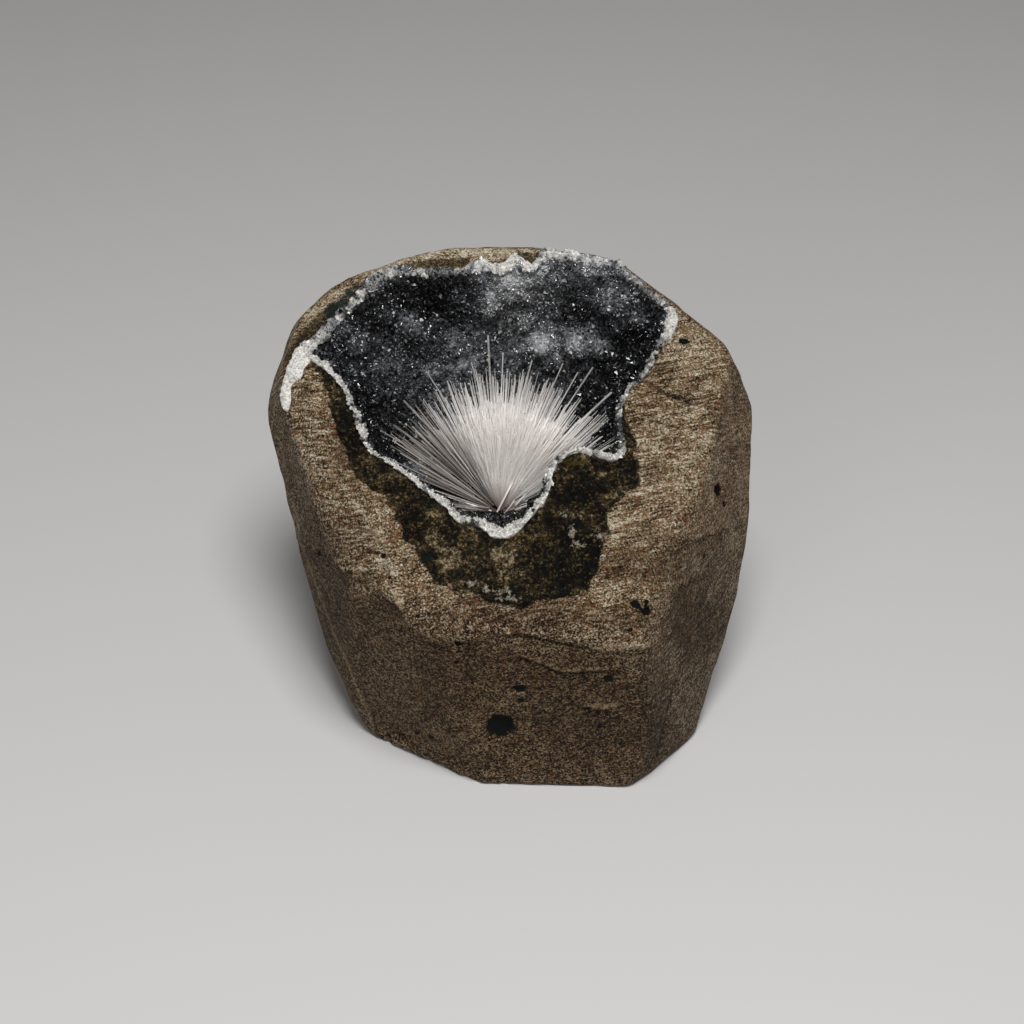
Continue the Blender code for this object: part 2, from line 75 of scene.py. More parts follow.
# The rim, clockwise in the picture from the left corner: x, y, width of the white edge, and its whiteness
RIM_PX = [
    (299, 353, 9, 1.0), (306, 345, 9, 1.0), (321, 333, 8, 0.5), (342, 311, 7, 0.35), (362, 289, 8, 0.4),
    (380, 273, 8, 0.65), (405, 270, 6, 0.4), (430, 271, 5, 0.25), (450, 272, 5, 0.3), (465, 268, 6, 0.5),
    (478, 263, 9, 0.7), (500, 267, 7, 0.7), (514, 256, 6, 0.8), (531, 265, 6, 0.6), (545, 250, 6, 0.6),
    (565, 254, 8, 0.7), (590, 257, 8, 0.5), (610, 261, 5, 0.25), (625, 272, 4, 0.25), (640, 286, 3, 0.2),
    (650, 294, 3, 0.1), (661, 303, 3, 0.1), (668, 309, 3, 0.1), (673, 315, 7, 0.8), (677, 325, 13, 1.0),
    (671, 336, 10, 1.0), (664, 346, 6, 0.55), (655, 361, 6, 0.45), (645, 376, 5, 0.45), (630, 392, 3, 0.4),
    (621, 408, 3, 0.35), (621, 430, 2, 0.3), (623, 448, 3, 0.6), (619, 459, 3, 0.8), (606, 459, 3, 0.8),
    (592, 455, 4, 0.9), (578, 453, 5, 1.0), (564, 460, 6, 1.0), (553, 474, 6, 1.0), (549, 492, 6, 1.0),
    (540, 508, 7, 1.0), (530, 520, 8, 1.0), (516, 534, 9, 1.0), (502, 540, 9, 1.0), (488, 533, 10, 1.0),
    (473, 527, 10, 1.0), (457, 520, 8, 1.0), (446, 509, 6, 1.0), (430, 496, 6, 0.95), (412, 481, 6, 0.8),
    (397, 469, 6, 0.8), (382, 460, 5, 0.8), (370, 450, 3, 0.75), (363, 433, 3, 0.7), (356, 414, 3, 0.7),
    (350, 398, 3, 0.8), (342, 385, 4, 0.9), (332, 374, 5, 1.0), (320, 366, 6, 0.9), (309, 361, 6, 1.0),
]
OPENING_PX = (480.0, 400.0)
# The rim's raggedness as rows of strength and size, and how much more of it the white edge's inside has
RAGGEDNESS_PX = [(1.5, 14.0), (1.3, 5.0), (0.7, 2.4)]
INNER_RAGGEDNESS = 1.4
THINNEST_EDGE_PX = 1.5
INNER_EDGE_SUNK = 0.4
# How far the rim's directions, and its shape on the block's far side, are evened out, as shares of its length
RIM_EASING = 0.004
RING_EASING = 0.16

# The hollow's wall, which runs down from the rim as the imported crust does
HOLLOW_AXIS = np.array([0.0, -0.5, math.cos(math.radians(30.0))])
HOLLOW_DEPTH = 60.0
HOLLOW_LEAN = np.array([0.0, 2.0, 2.0])
NOTCH_PX = (502.0, 540.0)
NOTCH_REACH = 34.0
UNDERCUT = 0.04
WALL_STEEPNESS = 2.3
NOTCH_EASING = 1.0
WALL_PLUNGE = 1.05
WALL_BLUR = 0.082
CRUST_THICKNESS = 3.0
THINNEST_CRUST = 1.3
GAP = 0.3
# Broad swellings of the crust: x, y, radius, height
SWELLINGS_PX = [
    (410, 325, 26, 3.0), (520, 285, 30, 3.5), (575, 340, 24, 4.0), (622, 312, 16, 3.0), (540, 350, 18, 2.5),
    (470, 350, 24, 2.0),
]
# Rounded clusters on the crust: x, y, radius, height
CLUSTERS_PX = [
    (410, 325, 12, 2.0), (388, 316, 9, 1.4), (490, 303, 12, 2.6), (541, 346, 12, 2.8), (577, 345, 13, 3.2),
    (603, 350, 10, 2.4), (512, 288, 14, 2.0), (537, 268, 14, 2.0), (563, 277, 12, 1.6), (617, 300, 12, 2.2),
    (640, 322, 10, 1.8), (450, 345, 13, 1.6), (473, 372, 12, 1.6), (385, 372, 13, 1.8), (352, 345, 11, 1.4),
    (430, 378, 12, 1.6), (600, 300, 13, 1.8), (588, 262, 15, 1.5), (622, 330, 9, 1.6), (556, 366, 10, 1.8),
    (366, 352, 9, 1.2), (465, 300, 10, 1.2), (520, 320, 12, 1.6), (340, 325, 8, 1.0), (405, 295, 9, 1.0),
]
# The quartz's milkiness, partly its own and partly painted light on lit clusters and painted shade in shaded
# recesses: x, y, radius, and more or less than elsewhere
MILKY_PX = [
    (410, 325, 13, 0.28), (500, 285, 26, 0.4), (530, 266, 28, 0.36), (490, 302, 13, 0.32),
    (542, 347, 16, 0.42), (577, 345, 18, 0.46), (604, 350, 14, 0.32), (618, 298, 20, 0.34),
    (590, 268, 24, 0.34), (388, 372, 24, 0.2), (460, 350, 34, 0.18), (350, 335, 22, 0.2),
    (425, 395, 30, 0.08), (640, 320, 12, 0.18), (520, 325, 22, 0.22), (435, 305, 24, -0.2),
    (575, 314, 18, -0.22), (650, 352, 20, -0.34), (360, 390, 14, -0.1), (605, 385, 24, -0.32),
    (465, 318, 14, -0.06), (385, 440, 34, -0.34), (620, 420, 30, -0.34), (560, 300, 40, 0.12),
    (500, 518, 30, -0.36), (470, 512, 20, -0.2), (540, 495, 16, -0.2), (416, 470, 13, 0.4),
    (480, 290, 46, 0.04), (450, 340, 40, 0.08), (640, 385, 24, -0.3), (360, 420, 20, -0.2),
    (615, 360, 34, -0.2), (645, 340, 14, -0.2), (390, 415, 20, -0.14), (430, 300, 20, -0.08),
    (540, 300, 26, 0.12), (505, 335, 26, 0.18),
]
BASE_MILKINESS = 0.22

# The white vein that leaves the rim's left corner: its outer side and then its inner side, and its middle
VEIN_PX = [
    (300, 348), (292, 358), (288, 370), (285, 381), (282, 400), (284, 411), (288, 405), (291, 385),
    (299, 377), (303, 368), (310, 361), (307, 350),
]
VEIN_SPINE_PX = np.array([(303, 354), (296, 366), (290, 380), (287, 392), (285, 404)], float)
# How deep the vein is rooted, and how proud it stands at its side and in its middle
VEIN_ROOT = 3.0
VEIN_SIDE = 0.35
VEIN_CROWN = 0.9

# The natural rind in front of the opening, where the block was never ground
RIND_PX = [
    (312, 362), (328, 395), (338, 430), (345, 470), (362, 482), (384, 496), (398, 512), (402, 532),
    (414, 556), (430, 584), (462, 588), (485, 601), (520, 607), (552, 598), (588, 592), (602, 566),
    (606, 540), (610, 520), (616, 497), (640, 488), (638, 462), (634, 440), (622, 402), (560, 400),
    (400, 400),
]
# Between which distances from its outline in pixels the rind's edge lies, how deep it is and how rough
RIND_EDGE = (-1.6, 0.6)
RIND_DEPTH = 1.0
RIND_ROUGHNESS = 0.75
# How high blebs and how deep creases and chips are, and how much the outlines of marks wobble
BLEB_HEIGHT = 0.5
CREASE_DEPTH = 0.7
CHIP_DEPTH = 3.6
PIT_WOBBLE = 0.25
PATCH_WOBBLE = 0.35

# Grinding marks: the faces of each set, their rise to the right in the picture in degrees, spacing, strength
GRINDING = [
    ((2, 10, 11, 12), 27.0, 0.8, 2.0), ((0, 1), 12.0, 0.7, 1.3), ((3, 18), 5.0, 0.7, 1.2),
    ((19,), 42.0, 0.7, 1.5), ((4, 5, 6, 7, 8, 9), 1.0, 0.6, 1.2), ((20, 21), 36.0, 0.75, 1.6),
    ((13, 14, 15, 16, 17, 22, 23, 24, 25, 26, 27, 28, 29, 30, 31), 8.0, 1.0, 0.8),
]
# Faces left by the saw at the block's lower front and lower right: their colour is darker, partly as the cut
# rock's own and partly as painted shade on faces turned down from the light
SAWN_FACES = (4, 5, 6, 7, 8, 20, 21)
# How much the marks are drawn out along their lines and in depth, and the least slope they are seen at
LINE_STRETCH = 0.1
DEPTH_STRETCH = 0.2
LEAST_SLOPE = 0.2

# Mesh fineness: columns around, and rings on the block, on the hollow's walls, across the rim and on the vein
COLUMNS = 640
BLOCK_RINGS = 132
ROCK_WALL_RINGS = 6
BAND_RINGS = 8
FACE_RINGS = 112
BACK_RINGS = 8
VEIN_COLUMNS = 120
VEIN_RINGS = 14

# Crystal points: how many places are tried and kept at most, how close they stand, and the rings without any
POINT_TRIES = 110000
MOST_POINTS = 26000
POINT_CELL = 1.2
POINT_CLOSENESS = 0.62
BARE_RINGS = 3
# Their usual size and its variety, the limits, the same on the white edge, and how they lean and sink in
POINT_SIZE = 0.34
POINT_VARIETY = 0.42
POINT_SIZES = (0.2, 1.05)
EDGE_POINT_GROWTH = 1.3
EDGE_POINT_SIZES = (0.3, 0.85)
POINT_LEAN = 0.34
POINT_SUNK = 0.45


def unit(vector):
    """The vector, or each row of vectors, at length one."""
    return vector / np.maximum(np.linalg.norm(vector, axis=-1, keepdims=True), 1e-9)


def eased_step(low, high, value):
    """Zero below low, one above high, and smooth in between."""
    way = np.clip((value - low) / (high - low), 0.0, 1.0)
    return way * way * (3.0 - 2.0 * way)


def cell_values(cells, seed):
    """A repeatable number from 0 to 1 for each whole-number cell."""
    x, y, z = (cells[..., axis].astype(np.int64) for axis in range(3))
    mixed = (x * 73856093) ^ (y * 19349663) ^ (z * 83492791) ^ (seed * 2654435761)
    mixed = (mixed ^ (mixed >> 13)) * 1274126177
    mixed = mixed ^ (mixed >> 16)
    return (mixed & 0xFFFFFF) / 0xFFFFFF


def noise(points, size, seed):
    """Smooth noise from -1 to 1 whose bumps have about the given size."""
    scaled = points / size
    cell = np.floor(scaled)
    part = scaled - cell
    part = part ** 3 * (part * (part * 6.0 - 15.0) + 10.0)
    total = np.zeros(points.shape[:-1])
    for corner in itertools.product((0, 1), repeat=3):
        weight = np.where(np.array(corner) == 1, part, 1.0 - part).prod(axis=-1)
        total += weight * cell_values(cell + np.array(corner), seed)
    return total * 2.0 - 1.0


def domes(points, size, seed):
    """Rounded bumps from 0 to 1, crowded like grapes, of about the given size."""
    scaled = points / size
    cell = np.floor(scaled)
    nearest = np.full(points.shape[:-1], 9.0)
    for offset in itertools.product((-1, 0, 1), repeat=3):
        other = cell + np.array(offset)
        centre = np.stack([cell_values(other, seed + axis) for axis in range(3)], axis=-1)
        nearest = np.minimum(nearest, np.linalg.norm(other + centre - scaled, axis=-1))
    return np.clip(1.0 - nearest ** 2, 0.0, 1.0)


def outward(points):
    """Directions from the block's centre through points."""
    return unit(points - BLOCK_CENTRE)


def rough_noise(points, size, octaves, seed):
    """Noise summed over sizes that halve, each half as strong."""
    return bumps(points, [(0.5 ** octave, size * 0.5 ** octave, seed + octave) for octave in range(octaves)])


def bumps(points, uneven, rounded=()):
    """Domes and noise, added up from rows of strength, size and seed."""
    total = sum(strength * domes(points, size, seed) for strength, size, seed in rounded)
    return total + sum(strength * noise(points, size, seed) for strength, size, seed in uneven)


def face_planes():
    """Outward normals of the block's faces and their distances from the block's centre."""
    faces = np.array(GROUND_FACES, float)
    azimuth = np.radians(faces[:, 0])
    elevation = np.radians(faces[:, 1])
    flat = np.cos(elevation)
    normals = np.stack([np.sin(azimuth) * flat, -np.cos(azimuth) * flat, np.sin(elevation)], axis=1)
    return normals, faces[:, 2]


FACE_NORMALS, FACE_DISTANCES = face_planes()


def sight_lines(points_px):
    """Directions from the eye through points of the picture."""
    across = (points_px[..., 0:1] - PICTURE_CENTRE_PX) / FOCAL_PX
    up = (PICTURE_CENTRE_PX - points_px[..., 1:2]) / FOCAL_PX
    return unit(-TOWARDS_EYE + PICTURE_RIGHT * across + PICTURE_UP * up)


def picture_position(points):
    """Where points in millimetres appear in the picture, in pixels."""
    offset = points - EYE_POINT
    depth = -(offset @ TOWARDS_EYE)
    x_px = PICTURE_CENTRE_PX + FOCAL_PX * (offset @ PICTURE_RIGHT) / depth
    y_px = PICTURE_CENTRE_PX - FOCAL_PX * (offset @ PICTURE_UP) / depth
    return np.stack([x_px, y_px], axis=-1)


def face_reaches(directions):
    """How far each face lies from the centre along unit directions."""
    slope = directions @ FACE_NORMALS.T
    return np.where(slope > LEAST_TURN, FACE_DISTANCES / np.maximum(slope, LEAST_TURN), FAR)


def block_radius(directions):
    """Distance of the block's worn surface from its centre along unit directions."""
    reach = face_reaches(directions)
    nearest = reach.min(axis=-1)
    crowding = np.exp(-(reach - nearest[..., None]) / EDGE_WEAR).sum(axis=-1)
    return nearest - EDGE_WEAR * np.log(crowding)


def on_block(points_px, sunk=0.0):
    """Points of the block's worn surface under points of the picture."""
    rays = sight_lines(np.asarray(points_px, float))
    slope = rays @ FACE_NORMALS.T
    start = FACE_NORMALS @ (EYE_POINT - BLOCK_CENTRE)
    reach = np.where(slope < 0, (FACE_DISTANCES - sunk - start) / np.minimum(slope, -1e-9), -FAR)
    ways = outward(EYE_POINT + rays * reach.max(axis=-1)[..., None])
    return BLOCK_CENTRE + ways * (block_radius(ways) - sunk)[..., None]


def picture_noise(outline, layers, seed):
    """Noise along an outline of the picture, added up from rows of strength and size in pixels."""
    flat = np.pad(outline, ((0, 0), (0, 1)))
    return sum(strength * noise(flat, size, seed) for strength, size in layers)[:, None]


def closed_curve(rows, count):
    """Evenly spaced points along a smooth closed curve through rows whose first columns are x and y."""
    rows = np.asarray(rows, float)
    steps = np.linspace(0.0, 1.0, 24, endpoint=False)[:, None]
    stretches = []
    for index in range(len(rows)):
        before, here, after, beyond = (rows[(index + shift) % len(rows)] for shift in (-1, 0, 1, 2))
        stretches.append(0.5 * (
            2.0 * here + (after - before) * steps
            + (2.0 * before - 5.0 * here + 4.0 * after - beyond) * steps ** 2
            + (3.0 * (here - after) + beyond - before) * steps ** 3))
    curve = np.concatenate(stretches)
    curve = np.vstack([curve, curve[:1]])
    run = np.linalg.norm(np.diff(curve[:, :2], axis=0), axis=1)
    length = np.concatenate([[0.0], np.cumsum(run)])
    places = np.linspace(0.0, length[-1], count, endpoint=False)
    return np.stack([np.interp(places, length, column) for column in curve.T], axis=1)


def inward_in_picture(outline):
    """Unit directions, in the picture, that point to the inside of a clockwise outline."""
    along = unit(np.roll(outline, -1, axis=0) - np.roll(outline, 1, axis=0))
    return np.stack([-along[:, 1], along[:, 0]], axis=1)


def blurred_around(values, share):
    """Values around a closed ring, blurred over a share of its length."""
    waves = np.fft.rfft(values, axis=0)
    order = np.arange(len(waves))
    keep = np.exp(-0.5 * (2.0 * math.pi * order * share) ** 2)
    return np.fft.irfft(waves * keep[:, None], n=len(values), axis=0)


def line_offsets(points_px, start, end):
    """Offsets of points from the nearest point of a line, and how far past its ends they lie."""
    side = end - start
    way = ((points_px - start) @ side) / (side @ side)
    held = np.clip(way, 0.0, 1.0)
    return points_px - start - held[..., None] * side, np.abs(way - held) * np.linalg.norm(side)


def outline_distance(points_px, outline):
    """Distance in pixels to a closed outline, negative inside."""
    corners = np.asarray(outline, float)
    nearest = np.full(points_px.shape[:-1], FAR)
    inside = np.zeros(points_px.shape[:-1], bool)
    for first, second in zip(corners, np.roll(corners, -1, axis=0)):
        offset, _ = line_offsets(points_px, first, second)
        nearest = np.minimum(nearest, np.linalg.norm(offset, axis=-1))
        across, rise = second - first
        crosses = (first[1] > points_px[..., 1]) != (second[1] > points_px[..., 1])
        inside ^= crosses & (
            points_px[..., 0] < first[0] + across * (points_px[..., 1] - first[1]) / (rise or 1e-9))
    return np.where(inside, -nearest, nearest)


def rim_edges():
    """The rim's outer and inner edge on the block, and its whiteness, at each column."""
    rim = closed_curve(RIM_PX, COLUMNS)
    outline, width, whiteness = rim[:, :2], rim[:, 2:3], rim[:, 3]
    inward = inward_in_picture(blurred_around(outline, RIM_EASING))
    outer_px = outline + inward * picture_noise(outline, RAGGEDNESS_PX, 3)
    width = np.maximum(width + INNER_RAGGEDNESS * picture_noise(outline, RAGGEDNESS_PX, 8), THINNEST_EDGE_PX)
    return on_block(outer_px), on_block(outline + inward * width, INNER_EDGE_SUNK), whiteness


def hollow_wall(outer, ways):
    """Rings of the hollow's wall at shares of the way down, and the deepest point."""
    corners = on_block(np.array(RIM_PX, float)[:, :2])
    middle = corners.mean(axis=0)
    deepest = middle - HOLLOW_DEPTH * HOLLOW_AXIS + HOLLOW_LEAN
    notch = on_block(np.array(NOTCH_PX))
    near_notch = np.exp(-(np.linalg.norm(outer - notch, axis=1) / NOTCH_REACH) ** 2)
    steepness = (WALL_STEEPNESS - NOTCH_EASING * near_notch)[:, None]
    undercut = UNDERCUT * (1.0 - near_notch)[:, None]
    rings = []
    for way in ways:
        eased = blurred_around(outer - middle, WALL_BLUR * math.sqrt(way))
        spread = 1.0 - way ** steepness + undercut * math.sin(math.pi * way)
        sink = math.sin(0.5 * math.pi * way) ** WALL_PLUNGE
        rings.append(middle + eased * spread + (deepest - middle) * sink)
    return np.array(rings), deepest


def surface_normals(rings, inside_point):
    """Unit directions of a grid of rings that point away from a point on its other side."""
    down = np.gradient(rings, axis=0)
    around = np.roll(rings, -1, axis=1) - np.roll(rings, 1, axis=1)
    normals = unit(np.cross(down, around))
    return normals * np.sign(((rings - inside_point) * normals).sum())


def placed(name, data):
    """A new object of some data, in the scene."""
    thing = bpy.data.objects.new(name, data)
    bpy.context.scene.collection.objects.link(thing)
    return thing


def mesh_object(name, points, faces, material, smooth=True, **values):
    """A mesh object from millimetre points, with a named number on each point for each further value."""
    mesh = bpy.data.meshes.new(name)
    mesh.from_pydata((np.asarray(points) * METRES).tolist(), [], faces)
    mesh.polygons.foreach_set("use_smooth", [smooth] * len(mesh.polygons))
    mesh.materials.append(material)
    for label, numbers in values.items():
        attribute = mesh.attributes.new(label, "FLOAT", "POINT")
        attribute.data.foreach_set("value", np.asarray(numbers, np.float32).ravel())
    mesh.update()
    return placed(name, mesh)


def closed_rings(rings, start_pole, end_pole):
    """Points and outward faces of a closed surface through rings, with a pole at either end."""
    rows, count = rings.shape[:2]
    points = np.concatenate([rings.reshape(-1, 3), [start_pole, end_pole]])
    index = np.arange(rows * count).reshape(rows, count)
    following = np.roll(index, -1, axis=1)
    quads = np.stack([index[:-1], following[:-1], following[1:], index[1:]], axis=-1).reshape(-1, 4)
    start = np.full(count, rows * count)
    caps = np.concatenate([
        np.stack([following[0], index[0], start], axis=-1),
        np.stack([index[-1], following[-1], start + 1], axis=-1)])
    triangles = np.concatenate([quads[:, :3], quads[:, [0, 2, 3]], caps])
    first, second, third = points[triangles].swapaxes(0, 1)
    volume = (np.cross(first, second) * third).sum()
    turn = 1 if volume > 0 else -1
    return points, quads[:, ::turn].tolist() + caps[:, ::turn].tolist()


# Node helpers for the materials


def new_material(name):
    """A node material with its tree and its Principled shader."""
    material = bpy.data.materials.new(name)
    material.use_nodes = True
    return material, material.node_tree, material.node_tree.nodes["Principled BSDF"]


def put(tree, node, inputs):
    """Links an output to each named input of a node, or sets the input to a value."""
    for label, value in inputs.items():
        if isinstance(value, bpy.types.NodeSocket):
            tree.links.new(value, node.inputs[label])
        else:
            node.inputs[label].default_value = value


def add_node(tree, kind, output, inputs, **settings):
    """An output of a new shader node with its settings and inputs."""
    node = tree.nodes.new("ShaderNode" + kind)
    for label, value in settings.items():
        setattr(node, label, value)
    put(tree, node, inputs)
    return node.outputs[output]


def millimetres(tree):
    """Object coordinates in millimetres."""
    place = add_node(tree, "TexCoord", "Object", {})
    return add_node(tree, "VectorMath", 0, {0: place, "Scale": 1.0 / METRES}, operation="SCALE")


def painted(tree, name):
    """The number stored on the mesh under a name."""
    return add_node(tree, "Attribute", "Fac", {}, attribute_name=name)


def noise_map(tree, place, size, detail=3.0, roughness=0.55, output="Fac"):
    """Noise from 0 to 1 with features of a size in millimetres."""
    inputs = {"Vector": place, "Scale": 1.0 / size, "Detail": detail, "Roughness": roughness}
    return add_node(tree, "TexNoise", output, inputs)


def grain_numbers(tree, place, size):
    """Three random numbers for each grain of a size in millimetres."""
    colour = add_node(tree, "TexVoronoi", "Color", {"Vector": place, "Scale": 1.0 / size})
    split = tree.nodes.new("ShaderNodeSeparateColor")
    put(tree, split, {0: colour})
    return tuple(split.outputs)


def times(tree, first, second, clamped=False):
    """The product of two values."""
    return add_node(tree, "Math", 0, {0: first, 1: second}, operation="MULTIPLY", use_clamp=clamped)


def weighted(tree, constant, *terms):
    """A constant plus each value times its weight."""
    for value, weight in terms:
        constant = add_node(tree, "Math", 0, {0: value, 1: weight, 2: constant}, operation="MULTIPLY_ADD")
    return constant


def opaque(colour):
    """A colour with full alpha, from three values or one grey; an output stays as it is."""
    if isinstance(colour, float):
        colour = (colour, colour, colour)
    return (*colour, 1.0) if isinstance(colour, tuple) else colour


def ramp(tree, value, stops):
    """A colour or grey read from stops of (place, colour)."""
    node = tree.nodes.new("ShaderNodeValToRGB")
    put(tree, node, {"Fac": value})
    elements = node.color_ramp.elements
    while len(elements) < len(stops):
        elements.new(0.5)
    for element, (place, colour) in zip(elements, stops):
        element.position = place
        element.color = opaque(colour)
    return node.outputs["Color"]


def cut(tree, value, low, high):
    """Zero where a value is below low and one where it is above high."""
    return ramp(tree, value, [(low, 0.0), (high, 1.0)])


def covered(tree, colour, *layers):
    """A colour covered by layers of (share, colour), or (share, colour, blend) where it isn't a plain mix."""
    for share, tint, *blend in layers:
        inputs = {"Fac": share, "Color1": opaque(colour), "Color2": opaque(tint)}
        colour = add_node(tree, "MixRGB", "Color", inputs, blend_type=blend[0] if blend else "MIX")
    return colour


def bumped(tree, height, distance):
    """A surface direction tilted by a height, whose distance is in millimetres."""
    return add_node(tree, "Bump", "Normal", {"Height": height, "Distance": distance * METRES})


def shaken(tree, place, size, amount):
    """Places shifted a little to and fro, so that what is drawn on them wanders."""
    noise_colour = noise_map(tree, place, size, 1.0, 0.5, "Color")
    shift = add_node(tree, "VectorMath", 0, {0: noise_colour, 1: (0.5, 0.5, 0.5)}, operation="SUBTRACT")
    inputs = {0: shift, 1: (amount, amount, amount), 2: place}
    return add_node(tree, "VectorMath", 0, inputs, operation="MULTIPLY_ADD")


def grinding_direction(normal, picture_angle):
    """The direction of grinding lines on a face, seen in the picture at an angle, and the one across it."""
    turn = math.radians(picture_angle)
    seen = math.cos(turn) * PICTURE_RIGHT + math.sin(turn) * PICTURE_UP
    slope = normal @ TOWARDS_EYE
    slope = math.copysign(max(abs(slope), LEAST_SLOPE), slope)
    line = unit(seen - TOWARDS_EYE * (seen @ normal) / slope)
    return line, unit(np.cross(normal, line))


def grinding_lines(tree, place):
    """Fine parallel lines left by the grinding wheel, in a direction of their own on each side."""
    wandering = shaken(tree, place, 7.0, 1.0)
    total = 0.0
    for number, (faces, picture_angle, spacing, strength) in enumerate(GRINDING):
        normal = unit(FACE_NORMALS[list(faces)].sum(axis=0))
        line, across = grinding_direction(normal, picture_angle)
        stretched = {}
        for axis, way in enumerate((across, LINE_STRETCH * line, DEPTH_STRETCH * normal)):
            stretched[axis] = add_node(
                tree, "VectorMath", "Value", {0: wandering, 1: tuple(way)}, operation="DOT_PRODUCT")
        lined = add_node(tree, "CombineXYZ", 0, stretched)
        lines = weighted(tree, -0.5, (noise_map(tree, lined, spacing, 2.0, 0.6), 1.0))
        total = weighted(tree, total, (lines, times(tree, painted(tree, "grinding_%d" % number), strength)))
    return total


def tone(red, green, blue):
    """A colour given in display values from 0 to 255."""
    return tuple((value / 255.0) ** 2.2 for value in (red, green, blue))


BASALT_GRAINS = [
    (0.0, tone(12, 9, 6)), (0.25, tone(62, 49, 33)), (0.5, tone(121, 101, 75)), (0.75, tone(173, 157, 132)),
    (1.0, tone(226, 215, 195)),
]
RIND_GRAINS = [
    (0.0, tone(7, 6, 4)), (0.3, tone(32, 27, 19)), (0.5, tone(62, 52, 37)), (0.7, tone(104, 88, 62)),
    (1.0, tone(196, 176, 140)),
]
BROWN_SKIN = [(0.2, tone(26, 22, 15)), (0.5, tone(60, 50, 34)), (0.85, tone(118, 102, 72))]
BLEB_GRAINS = [(0.2, tone(64, 58, 44)), (0.5, tone(158, 148, 126)), (0.85, tone(228, 221, 202))]
GREYISH = tone(232, 238, 226)
SHADED = tone(138, 122, 104)
SAWN_BROWN_AND_SHADE = tone(166, 148, 122)
CREST_HIGHLIGHT_TAN = tone(196, 170, 134)
RUST = tone(128, 84, 58)
OCHRE = tone(136, 112, 62)
DARK_GREEN = tone(24, 38, 34)
OLIVE = tone(76, 66, 20)
DARK_FILLING = tone(14, 18, 16)
CREASE_SHADE = tone(96, 78, 62)
# Painted marks: how much noise frays their edges, and between which values they fade in
MARK_EDGES = {
    "crease": (1.6, 0.5, 1.0), "brown": (0.7, 0.42, 0.6), "rind": (0.5, 0.45, 0.55),
    "green": (1.0, 0.4, 0.75), "olive": (0.5, 0.4, 0.6), "bleb": (2.6, 0.5, 0.62), "pit": (0.4, 0.47, 0.53),
}


